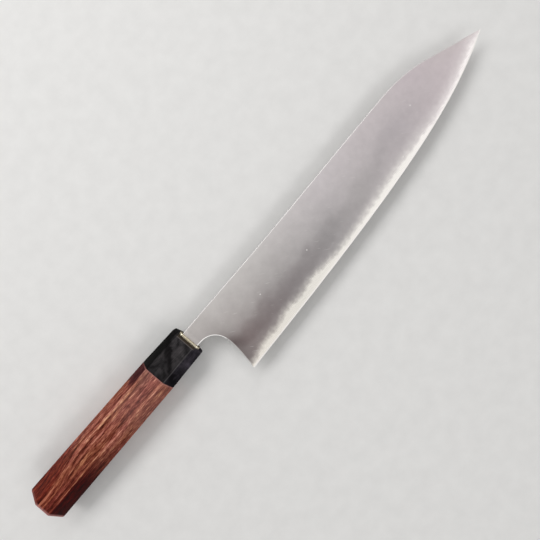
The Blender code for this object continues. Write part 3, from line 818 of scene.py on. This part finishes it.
# %% Sections of the handle, in millimetres
FRONT = {"height": 24.0, "thickness": 18.5, "spine_facet": 4.3, "edge_facet": 6.2, "depth": 5.0}
JOINT = {"height": 25.9, "thickness": 19.4, "spine_facet": 4.6, "edge_facet": 6.8, "depth": 5.4}
BUTT = {"height": 27.8, "thickness": 22.0, "spine_facet": 9.0, "edge_facet": 8.2, "depth": 7.4}
GRIP = {"spine_facet": 4.9, "edge_facet": 7.3, "depth": 5.7}
GRIP_X = BUTT_X + 53.0 * MM
BUTT_CHAMFER = 0.9 * MM
RIDGE_RADIUS = 0.55 * MM
RIDGE_STEPS = 4
RIDGE_ANGLE = 18 * DEGREE
GRIP_STATIONS = 28


def between(x, first, first_x, last, last_x):
    """Sizes at x on the way from first to last, for the names that both have."""
    share = (x - first_x) / (last_x - first_x)
    return {n: first[n] + (last[n] - first[n]) * share for n in first if n in last}


def corners(x, size, inset=0.0):
    """Eight corners of one section, drawn in by inset."""
    top = size["height"] * MM / 2
    out = size["thickness"] * MM / 2
    level = out - size["depth"] * MM
    upper = top - size["spine_facet"] * MM
    lower = -top + size["edge_facet"] * MM
    half = [(top - inset, level), (upper, out - inset), (lower, out - inset), (inset - top, level)]
    return [(x, y, z) for y, z in half + [(y, -z) for y, z in reversed(half)]]


def grip_size(x):
    """Section of the grip at x: a straight taper, whose facets widen behind the grip."""
    half = (JOINT, JOINT_X, GRIP, GRIP_X) if x >= GRIP_X else (GRIP, GRIP_X, BUTT, BUTT_X)
    return {**between(x, JOINT, JOINT_X, BUTT, BUTT_X), **between(x, *half)}


def skin(bm, sections, ring=False):
    """Faces between sections of as many corners, closed by caps or round to the first again."""
    loops = [[bm.verts.new(corner) for corner in section] for section in sections]
    for loop, following in zip(loops, loops[1:] + loops[:ring]):
        for i in range(len(loop)):
            j = (i + 1) % len(loop)
            bm.faces.new((loop[i], loop[j], following[j], following[i]))
    if not ring:
        bm.faces.new(loops[0])
        bm.faces.new(list(reversed(loops[-1])))
    bmesh.ops.recalc_face_normals(bm, faces=bm.faces)


def new_piece(name, bm):
    """An object with the bmesh as its mesh."""
    mesh = bpy.data.meshes.new(name)
    bm.to_mesh(mesh)
    bm.free()
    return add_object(name, mesh)


def loft(name, sections):
    """A closed skin through sections, with its ridges bevelled."""
    bm = bmesh.new()
    skin(bm, sections)
    piece = new_piece(name, bm)
    ridges = piece.modifiers.new("ridges", "BEVEL")
    ridges.width = RIDGE_RADIUS
    ridges.segments = RIDGE_STEPS
    ridges.limit_method = "ANGLE"
    ridges.angle_limit = RIDGE_ANGLE
    return piece


ferrule = loft("horn_ferrule", [corners(0.0, FRONT), corners(JOINT_X, JOINT)])
stations = np.linspace(JOINT_X, BUTT_X + BUTT_CHAMFER, GRIP_STATIONS)
grip_sections = [corners(x, grip_size(x)) for x in stations]
grip = loft("rosewood_grip", grip_sections + [corners(BUTT_X, BUTT, BUTT_CHAMFER)])
print(f"handle of {len(stations)} sections, {-BUTT_X / MM:.1f} mm long")

# %% [markdown]
# ## Bores and the tang's slot
# Ferrule and grip are drilled for the dowel that joins them, and the ferrule is slotted for the
# tang. Nobody sees it, but the pieces then are what they are on the bench, and no solid runs
# through another. Boolean cutters take their sizes from the frame's hidden nodes.

# %% Drill and slot
CLEARANCE = 0.15 * MM
SLOT_CLEARANCE = 0.3 * MM
FERRULE_WALL = 7.7 * MM
PAST = 1.0 * MM
BORE_SIDES = 64

dowel_low, dowel_high = (corner - KNIFE_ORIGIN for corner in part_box("tenon_dowel"))
resin_low, resin_high = (corner - KNIFE_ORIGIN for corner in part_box("tang_resin"))


def rectangle(half_a, half_b):
    """Four corners, counter-clockwise."""
    return [(a * half_a, b * half_b) for a, b in ((1, 1), (-1, 1), (-1, -1), (1, -1))]


def cutter(name, loop, start_x, end_x):
    """A straight solid along the knife, with a loop of (y, z) as its section."""
    bm = bmesh.new()
    skin(bm, [[(x, y, z) for y, z in loop] for x in (start_x, end_x)])
    return new_piece(name, bm)


def cut_and_apply(piece, cutters):
    """Cuts a piece, turns its modifiers into plain mesh and removes the cutters."""
    for tool in cutters:
        modifier = piece.modifiers.new(tool.name, "BOOLEAN")
        modifier.operation = "DIFFERENCE"
        modifier.solver = "EXACT"
        modifier.object = tool
    solid = plain_mesh(piece)
    piece.modifiers.clear()
    piece.data = solid
    for tool in cutters:
        bpy.data.objects.remove(tool, do_unlink=True)


bore_radius = dowel_high.y + CLEARANCE
turns = np.linspace(0, 2 * math.pi, BORE_SIDES, endpoint=False)
bore = np.column_stack([np.sin(turns), np.cos(turns)]) * bore_radius
slot_z = GRIND_SIZES["Neck"] / 2 + SLOT_CLEARANCE
slot = rectangle(-NECK_Y + SLOT_CLEARANCE, slot_z)
mortise = rectangle(resin_high.y + CLEARANCE, resin_high.z + CLEARANCE)
cut_and_apply(ferrule, [
    cutter("ferrule bore", bore, JOINT_X - PAST, -FERRULE_WALL),
    cutter("tang slot", slot, -FERRULE_WALL - PAST, PAST),
])
cut_and_apply(grip, [
    cutter("grip bore", bore, dowel_low.x - 2 * CLEARANCE, JOINT_X + PAST),
    cutter("mortise", mortise, resin_low.x - CLEARANCE, dowel_low.x + PAST),
])
print(f"bore {2 * bore_radius / MM:.1f} mm across")

# %% [markdown]
# ## The gold collar
# A thin brass ring closes the slot round the tang. It is sawn from a drawn tube with round ends:
# outside a stadium, inside a rectangle with eased corners. Both are rounded rectangles, which
# differ in their corner radius alone, so one function draws them and a short skin joins them. Only
# the rims in front are eased, because the back lies on the horn.

# %% Saw the collar
COLLAR_END_WALL = 1.7 * MM
COLLAR_SIDE_WALL = 0.7 * MM
COLLAR_BEVEL = 0.32 * MM
BEVEL_STEPS = 4
HOLE_INSET = 0.2 * MM
HOLE_RADIUS = 0.5 * MM
SHORT_OF_ROUND = 0.01 * MM
CORNER_STEPS = 10


def rounded_rectangle(half_y, half_z, radius):
    """Corners of an upright rounded rectangle, counter-clockwise about +X."""
    points = []
    for quarter, (y, z) in enumerate(rectangle(half_y - radius, half_z - radius)):
        for k in range(CORNER_STEPS + 1):
            angle = (quarter + k / CORNER_STEPS) * math.pi / 2
            points.append((y + radius * math.cos(angle), z + radius * math.sin(angle)))
    return points


hole_y = NECK_HEIGHT / 2 + SLOT_CLEARANCE
outer_z = slot_z + COLLAR_SIDE_WALL
outside = rounded_rectangle(hole_y + COLLAR_END_WALL, outer_z, outer_z - SHORT_OF_ROUND)
hole = rounded_rectangle(hole_y - HOLE_INSET, slot_z - HOLE_INSET, HOLE_RADIUS)
collar_y = (SPINE_Y + NECK_Y) / 2
collar_front = collar_high.x - KNIFE_ORIGIN.x
around = ((0, outside), (collar_front, outside), (collar_front, hole), (0, hole))
bm = bmesh.new()
skin(bm, [[(x, collar_y + y, z) for y, z in loop] for x, loop in around], ring=True)
rims = [e for e in bm.edges if min(v.co.x for v in e.verts) > collar_front / 2]
bmesh.ops.bevel(
    bm, geom=rims, offset=COLLAR_BEVEL, segments=BEVEL_STEPS, profile=0.5, affect="EDGES"
)
collar = new_piece("brass_collar", bm)
print(f"collar {2 * (hole_y + COLLAR_END_WALL) / MM:.1f} mm high, {collar_front / MM:.1f} mm thick")

# %% [markdown]
# ## Black horn
# The ferrule is water buffalo horn: keratin laid down in thin layers, black with grey-brown
# marbling, sawn and then buffed to a soft gloss. It is cloudy, with fine fibres along the ferrule
# and one darker flow across the top facet. A noise gives the clouds, and the distance to a slanted
# plane, pushed about by the same noise, gives the flow. Painted shade makes the spine's facet and
# the ridge next to it blackest, and the front half is paler. A painted highlight runs along the
# edge's ridge, broken by the fibres, over a facet tinted bluish as a painted reflection. The front
# face was only sawn, and its rim, broken with fine paper, is paler, partly as a painted highlight.
# Horn's own IOR is 1.54, but in soft light that would grey it all over, so it is matched lower.

# %% Buffed horn
HORN_GLOSS = {"IOR": 1.15, "Specular IOR Level": 0.25}
HORN_TONES = ((0.34, "#1B191A"), (0.47, "#2B292A"), (0.6, "#383536"), (0.72, "#464244"))
CLOUD_SPACING = 7.0
CLOUD_PUSH = 9.0
FLOW_PLACE = (-11.5, 4.5, 4.5)
FLOW_ACROSS = (-0.69, 0.73, 0.0)
FLOW = (3.0, 0.5, 0.0, 0.85)
UPPER_RIDGE_Y = (7.6, 8.3)
LOWER_RIDGE_Y = (-5.8, -6.15)
FIBRE_STRETCH = (0.12, 2.2, 2.2)
SHADED_SPINE_FACET_Y = (7.6, 8.6)
PALE_FRONT = (-16.0, -5.0, 1.0, 1.35)
MIDDLE_Y = ((7.6, 6.6), (-7.4, -6.0))
FRONT_FACE = (-0.2, -0.1)
FRONT_RIM = ((-0.75, -0.35), (-0.02, -0.1))
SAWN_ROUGHNESS = 0.45
FIBRE_DEPTH = 0.03 * MM

horn, tree, shader = new_finish("buffed black buffalo horn")
mm = knife_mm(tree)
x, y, _ = add_node(tree, "SeparateXYZ", [mm]).outputs
cloud = add_node(tree, "TexNoise", {
    "Vector": mm, "Scale": 1 / CLOUD_SPACING, "Detail": 4.0, "Roughness": 0.55, "Distortion": 0.6,
})
tone = set_ramp(add_node(tree, "ValToRGB", [cloud]), HORN_TONES)
flow = cloud.outputs["Color"]
for operation, other in (
    ("MULTIPLY", [CLOUD_PUSH] * 3), ("ADD", mm), ("SUBTRACT", FLOW_PLACE),
    ("DOT_PRODUCT", FLOW_ACROSS),
):
    flow = add_node(tree, "VectorMath", [flow, other], operation=operation)
from_flow = work_out(tree, ("ABSOLUTE", flow))
tone = paint(tree, tone, "#0E0C0D", (from_flow, *FLOW), ease="SMOOTHSTEP")
# Painted shade: the spine's facet is multiplied darker.
tone = paint(tree, tone, "#4C484A", (y, *SHADED_SPINE_FACET_Y), blend="MULTIPLY")

below_upper, below_lower = (
    work_out(tree, ("SUBTRACT", add_node(tree, "MapRange", [x, 0.0, JOINT_X / MM, *ridge]), y))
    for ridge in (UPPER_RIDGE_Y, LOWER_RIDGE_Y)
)
fibre = drawn_out(tree, mm, FIBRE_STRETCH, 3.0)
# The last span darkens the spine's ridge as a painted shade line.
for span in (
    (fibre, 0.35, 0.7, 0.75, 1.3),
    (x, *PALE_FRONT),
    (work_out(tree, ("ABSOLUTE", below_upper)), 0.2, 0.7, 0.35, 1.0),
):
    light = add_node(tree, "MapRange", span)
    tone = add_node(tree, "VectorMath", [tone, light], operation="MULTIPLY")
# Painted reflection: the edge's facet is tinted bluish below the lower ridge.
tone = paint(tree, tone, "#EFEAFF", (below_lower, 0.0, 0.5), blend="MULTIPLY")
# Painted highlight: a paler grey along the edge's ridge, broken by the fibres.
from_lower = work_out(tree, ("ABSOLUTE", below_lower))
tone = paint(tree, tone, "#6A6668", (from_lower, 0.15, 0.5, 0.6, 0.0), fibre)

middle = [(y, *span) for span in MIDDLE_Y]
front_rim = [(x, *span) for span in FRONT_RIM]
sawn = add_node(tree, "MapRange", [x, *FRONT_FACE])
tone = paint(tree, tone, "#40382E", sawn, *middle)
# The rim's paler grey is partly sanding and partly a painted highlight.
tone = paint(tree, tone, "#5D5755", *front_rim, *middle)
rough = add_node(tree, "MapRange", [fibre, *NOISE, 0.2, 0.3])
rough = work_out(tree, ("MULTIPLY_ADD", sawn, SAWN_ROUGHNESS, rough))
bump = add_node(tree, "Bump", {"Height": fibre, "Strength": 0.1, "Distance": FIBRE_DEPTH})
fill(tree, shader, {"Base Color": tone, "Roughness": rough, "Normal": bump, **HORN_GLOSS})
print(f"{horn.name}: {len(tree.nodes)} nodes")

# %% [markdown]
# ## Oiled rosewood
# The grip is red-brown rosewood, planed and oiled. Wood is a solid pattern, so it is built from
# coordinates that pass through the piece, and facets and butt then show the same layers from two
# sides, which a picture wrapped round the handle would get wrong. The grain runs level in front
# and sinks towards the butt, most on the spine's side. Across it a curve gives the layers' tones. A
# slow noise says where they are strong and whether they lean to plum or gold, and noises drawn out
# along the grain break them into streaks of 3 to 30 mm. Towards the ferrule all but the lowest
# layers are calm, and a paler painted sheen lies on the front. Towards the butt the wood is darker,
# and painted shade darkens some facets in ragged patches. The rims are pale, partly from wear and
# partly as a painted highlight, and the butt's end grain, which drinks more oil, less so. As in the
# horn, the IOR is matched low.

# %% Sizes of the grain
LAYERS_FROM = -14.0
LAYERS_TO = 19.0
LAYERS = (
    (-14.0, 0.35), (-13.5, 0.35), (-12.4, 0.45), (-10.5, 0.3), (-8.6, 0.62), (-7.3, 0.45),
    (-6.3, 0.55), (-5.4, 0.9), (-4.5, 0.6), (-3.3, 0.2), (-2.0, 0.25), (-0.9, 0.42), (-0.2, 0.68),
    (0.8, 0.5), (2.0, 0.2), (3.2, 0.72), (4.1, 0.5), (4.9, 0.25), (5.8, 0.5), (7.0, 0.95),
    (7.9, 0.8), (8.8, 0.0), (9.6, 0.42), (10.8, 0.55), (12.0, 0.35), (13.2, 0.6), (14.4, 0.3),
    (15.5, 0.3), (16.7, 0.7), (17.8, 0.4), (19.0, 0.4),
)
GRAIN_SINK = (-92.0, -134.0, 0.0, 4.6)
FAN_Y = (-8.0, 4.0)
WEAVE_STRETCH = (0.025, 0.2, 0.2)
GRAIN_WEAVE = 1.2
PRESENCE_STRETCH = (0.035, 0.3, 0.3)
PRESENCE = (0.35, 0.65, 0.2, 1.0)
LAYER_WEIGHT = 0.7
TONE_SHIFT = -0.54
CALM = (-52.0, -32.0, 1.0, 0.12)
LIVELY_Y = (-2.8, -4.2)
STREAKS = (
    ((0.03, 0.5, 0.5), 2.0, 0.35),
    ((0.1, 1.3, 1.3), 2.0, 0.85),
    ((0.3, 2.2, 2.2), 1.0, 0.85),
)
WOOD_TONES = (
    (0.12, "#3A130B"), (0.28, "#622B1E"), (0.42, "#804637"), (0.55, "#995D4C"),
    (0.68, "#B87C63"), (0.85, "#DFAD8E"),
)
PLUM_TO_GOLD = ((0.35, "#FFECF8"), (0.65, "#FFFBE6"))
print(f"{len(LAYERS)} layers over {LAYERS_TO - LAYERS_FROM:.0f} mm")

# %% Layers and streaks
rosewood, tree, shader = new_finish("oiled rosewood")
mm = knife_mm(tree)
x, y, z = add_node(tree, "SeparateXYZ", [mm]).outputs
sink, fan = (
    add_node(tree, "MapRange", span, interpolation_type="SMOOTHSTEP")
    for span in ([x, *GRAIN_SINK], [y, *FAN_Y])
)
level = work_out(tree, ("MULTIPLY_ADD", sink, fan, y))
weave = drawn_out(tree, mm, WEAVE_STRETCH, 2.0)
across = work_out(tree, ("ADD", weave, -0.5), ("MULTIPLY_ADD", LAST, GRAIN_WEAVE, level))
bent = add_node(tree, "CombineXYZ", [x, across, z])

layer = add_node(tree, "MapRange", [across, LAYERS_FROM, LAYERS_TO])
shares = [((height - LAYERS_FROM) / (LAYERS_TO - LAYERS_FROM), tone) for height, tone in LAYERS]
layer_tone = set_curve(add_node(tree, "FloatCurve", {"Value": layer}), shares)
presence = drawn_out(tree, bent, PRESENCE_STRETCH, 1.0)
strength = add_node(tree, "MapRange", [presence, *PRESENCE])
calm = add_node(tree, "MapRange", [x, *CALM])
lively = add_node(tree, "MapRange", [level, *LIVELY_Y])
calm = work_out(tree, ("MAXIMUM", calm, lively))
tone_value = work_out(
    tree,
    ("ADD", layer_tone, -0.5),
    ("MULTIPLY", LAST, strength),
    ("MULTIPLY", LAST, calm),
    ("MULTIPLY_ADD", LAST, LAYER_WEIGHT, TONE_SHIFT),
)
for stretch, detail, weight in STREAKS:
    streak = drawn_out(tree, bent, stretch, detail, roughness=0.6)
    tone_value = work_out(tree, ("MULTIPLY_ADD", streak, weight, tone_value))
wood = set_ramp(add_node(tree, "ValToRGB", [tone_value]), WOOD_TONES)
hue = set_ramp(add_node(tree, "ValToRGB", [presence.outputs["Color"]]), PLUM_TO_GOLD)
wood = add_node(tree, "VectorMath", [wood, hue], operation="MULTIPLY")
print(f"grain of {len(tree.nodes)} nodes")

# %% Painted facet shade, painted sheen, worn and lit rims, and pores
ROSEWOOD_GLOSS = {"IOR": 1.22, "Specular IOR Level": 0.25}
BUTT_DARK_X = (-80.0, -138.0)
RAGGEDNESS = 24.0
# Painted shade on facets, in ragged patches: the edge's facet and the spine's side darker towards
# the butt, a plum tint on the spine's side and a cool tint across the middle near the ferrule.
PAINTED_FACET_SHADE = (
    ("#80211E", (-70.0, -116.0), (-4.7, -5.7)),
    ("#D8AA9C", (-90.0, -112.0), (8.4, 9.6)),
    ("#8C6A82", (-49.0, -43.0), (7.8, 8.8)),
    ("#D8DCEC", (-46.0, -34.0), (0.0, 4.0)),
)
# A paler painted sheen on the grip's front, below the spine's side.
PAINTED_SHEEN = (-74.0, -58.0, 0.0, 0.11)
PAINTED_SHEEN_Y = (9.0, 7.0)
END_FACE = (BUTT_X / MM + 0.12, BUTT_X / MM + 0.02)
END_GRAIN = 0.4
TOP = (10.5, 8.5, 0.4, 1.0)
# Pale rims at the butt and at the joint, partly wear and partly a painted highlight.
WORN_AND_LIT_RIMS = (
    (BUTT_X / MM + 2.6, BUTT_X / MM + 1.2, 0.0, 0.8),
    (JOINT_X / MM - 0.9, JOINT_X / MM - 0.3, 0.0, 0.55),
)
PORE_STRETCH = (0.13, 2.0, 2.0)
PORES = (0.36, 0.28, 0.0, 0.8)
PORE_DEPTH = 0.06 * MM

wood = paint(tree, wood, "#D0ACA9", (x, *BUTT_DARK_X), blend="MULTIPLY", ease="SMOOTHSTEP")
ragged = work_out(tree, ("MULTIPLY_ADD", presence, RAGGEDNESS, x), ("ADD", LAST, -RAGGEDNESS / 2))
for colour, reach, side in PAINTED_FACET_SHADE:
    covers = (ragged, *reach), (level, *side)
    wood = paint(tree, wood, colour, *covers, blend="MULTIPLY", ease="SMOOTHSTEP")
# Painted sheen: the front of the grip is mixed paler.
wood = paint(tree, wood, "#C09894", (x, *PAINTED_SHEEN), (y, *PAINTED_SHEEN_Y))

end_face = add_node(tree, "MapRange", [x, *END_FACE])
end_grain = add_node(tree, "MapRange", [end_face, 0.0, 1.0, 1.0, END_GRAIN])
on_top = add_node(tree, "MapRange", [level, *TOP])
on_top = work_out(tree, ("MAXIMUM", on_top, end_face))
for rim in WORN_AND_LIT_RIMS:
    wood = paint(tree, wood, "#B47F7A", (x, *rim), on_top, end_grain)

pores = drawn_out(tree, bent, PORE_STRETCH, 1.0)
pores = add_node(tree, "MapRange", [pores, *PORES])
wood = paint(tree, wood, "#2A0E08", pores)
rough = add_node(tree, "MapRange", [streak, *NOISE, 0.5, 0.4])
relief = work_out(tree, ("SUBTRACT", streak, pores))
bump = add_node(tree, "Bump", {"Height": relief, "Strength": 0.25, "Distance": PORE_DEPTH})
fill(tree, shader, {"Base Color": wood, "Roughness": rough, "Normal": bump, **ROSEWOOD_GLOSS})
print(f"{rosewood.name}: {len(tree.nodes)} nodes")

# %% [markdown]
# ## Buffed brass, bare dowel wood and resin
# The collar is brass, buffed, and its flat front is darkened as painted shade. The dowel
# and the resin are hidden inside the handle. They keep their CAD shape and get a plain wood and a
# clear amber, so that they look right when the model is taken apart.

# %% Brass, magnolia and resin
SHADED_COLLAR_FRONT = (collar_front / MM - 0.34, collar_front / MM - 0.03, 0.0, 0.8)


def plain_finish(name, stretch, detail, tones, roughness):
    """A finish whose tone changes with one noise."""
    material, tree, shader = new_finish(name)
    tone = add_node(tree, "ValToRGB", [drawn_out(tree, knife_mm(tree), stretch, detail)])
    fill(tree, shader, {"Base Color": set_ramp(tone, tones), "Roughness": roughness})
    return material


brass, tree, shader = new_finish("buffed brass")
mm = knife_mm(tree)
tarnish = add_node(tree, "TexNoise", {"Vector": mm, "Scale": 1 / 2, "Detail": 3.0})
tone = set_ramp(add_node(tree, "ValToRGB", [tarnish]), [(0.3, "#D2C5A8"), (0.6, "#E8DFC8")])
x = add_node(tree, "SeparateXYZ", [mm]).outputs["X"]
# Painted shade: the collar's flat front is darkened.
tone = paint(tree, tone, "#8C8068", (x, *SHADED_COLLAR_FRONT))
rough = add_node(tree, "MapRange", [tarnish, *NOISE, 0.5, 0.36])
fill(tree, shader, {"Base Color": tone, "Roughness": rough, "Metallic": 1.0})

magnolia_tones = (0.35, "#BCA882"), (0.65, "#D8C8A4")
magnolia = plain_finish("bare magnolia wood", (0.05, 1.2, 1.2), 3.0, magnolia_tones, 0.6)
resin_tones = (0.4, "#8C6A3C"), (0.6, "#B08C58")
resin = plain_finish("set amber resin", [1 / 3] * 3, 2.0, resin_tones, 0.2)

for piece, finish, node in (
    (ferrule, horn, "ferrule"),
    (grip, rosewood, "handle_body"),
    (collar, brass, "tang_collar"),
):
    piece.data.materials.clear()
    piece.data.materials.append(finish)
    settle(piece)
    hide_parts(node)

for node, finish in (("tenon_dowel", magnolia), ("tang_resin", resin)):
    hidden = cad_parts[node]
    hidden.data.materials.clear()
    hidden.data.materials.append(finish)
    print(f"{node} stays a CAD node, in {finish.name}")

# %% [markdown]
# ## Floor
# The knife lies on a plain pale floor, which also throws a little light back under the blade.

# %% Pale floor
FLOOR_HALF = 1.5

pale, tree, shader = new_finish("pale painted board")
speck = add_node(tree, "TexCoord").outputs["Object"]
speck = add_node(tree, "TexNoise", {"Vector": speck, "Scale": 90.0, "Detail": 4.0})
tone = set_ramp(add_node(tree, "ValToRGB", [speck]), [(0.3, "#E3E2E0"), (0.7, "#E8E7E5")])
fill(tree, shader, {"Base Color": tone, "Roughness": 0.8})

mesh = bpy.data.meshes.new("floor")
mesh.from_pydata([(x, y, 0) for x, y in rectangle(FLOOR_HALF, FLOOR_HALF)], [], [range(4)])
mesh.materials.append(pale)
floor = add_object("floor", mesh)
print(f"floor {2 * FLOOR_HALF:.0f} m square")

# %% [markdown]
# ## Light
# A long soft key stands on the spine's side, about 45 degrees up, so the eased spine shows it all
# along, and a weaker fill as long on the edge's side. Together with the sky they light a level
# surface about once, so colours render as they are written. Polished metal shows what is round it,
# so glossy rays see a pale sky, brightest overhead and past the tip.

# %% Key, fill and sky
LAMPS = {
    "key": {"direction": (0.0, 0.92, 1.0), "power": 6.0, "size": (1.5, 0.4)},
    "fill": {"direction": (0.0, -0.95, 1.1), "power": 2.0, "size": (1.3, 0.3)},
}
LAMP_DISTANCE = 1.0
DIFFUSE_SKY = 0.45
SHOWN_SKY = (0.0, 0.85, 0.45, 0.88)
SIDE_SKY = (-0.2, 0.6, 0.0, 0.2)

for name, given in LAMPS.items():
    data = bpy.data.lights.new(name, "AREA")
    data.energy = given["power"]
    data.shape = "RECTANGLE"
    data.size, data.size_y = given["size"]
    lamp = add_object(name, data)
    direction = Vector(given["direction"])
    lamp.location = direction.normalized() * LAMP_DISTANCE
    lamp.rotation_euler = direction.to_track_quat("Z", "Y").to_euler()

sky = bpy.data.worlds.new("pale sky")
sky.use_nodes = True
bpy.context.scene.world = sky
tree = sky.node_tree
rays = add_node(tree, "LightPath").outputs
shown = work_out(tree, ("MAXIMUM", rays["Is Camera Ray"], rays["Is Glossy Ray"]))
direction = add_node(tree, "TexCoord").outputs["Generated"]
x, _, z = add_node(tree, "SeparateXYZ", [direction]).outputs
overhead = add_node(tree, "MapRange", [z, *SHOWN_SKY])
beside = add_node(tree, "MapRange", [x, *SIDE_SKY])
overhead = work_out(tree, ("ADD", overhead, beside))
strength = add_node(tree, "MapRange", [shown, 0.0, 1.0, DIFFUSE_SKY, overhead])
fill(tree, tree.nodes["Background"], {"Strength": strength, "Color": (1, 1, 1, 1)})
print(", ".join(f"{name} {given['power']} W" for name, given in LAMPS.items()))

# %% [markdown]
# ## Camera
# The photograph looks straight down from close above the blade: the handle's butt shows its outer
# side and the ferrule its front face. That fixes the camera's height over the blade and the point
# straight below it, and the knife lies at 49.2 degrees in the picture.

# %% Look straight down
VIEW_CENTRE = Vector((71.0 * MM, -10.5 * MM, 0.0))
VIEW_HEIGHT = 270.0 * MM
VIEW_TURN = -49.2 * DEGREE
IMAGE_SIDE = 540
FOCAL_PIXELS = 405.8
NEAREST = 0.01

lens = bpy.data.cameras.new("camera")
lens.sensor_fit = "HORIZONTAL"
lens.angle = 2 * math.atan(IMAGE_SIDE / 2 / FOCAL_PIXELS)
lens.clip_start = NEAREST
camera = add_object("camera", lens)
camera.location = KNIFE_ORIGIN + VIEW_CENTRE + Vector((0, 0, VIEW_HEIGHT))
camera.rotation_euler = (0.0, 0.0, VIEW_TURN)
bpy.context.scene.camera = camera
bpy.context.scene.view_settings.view_transform = "Standard"
print(f"field of view {lens.angle / DEGREE:.1f} degrees")
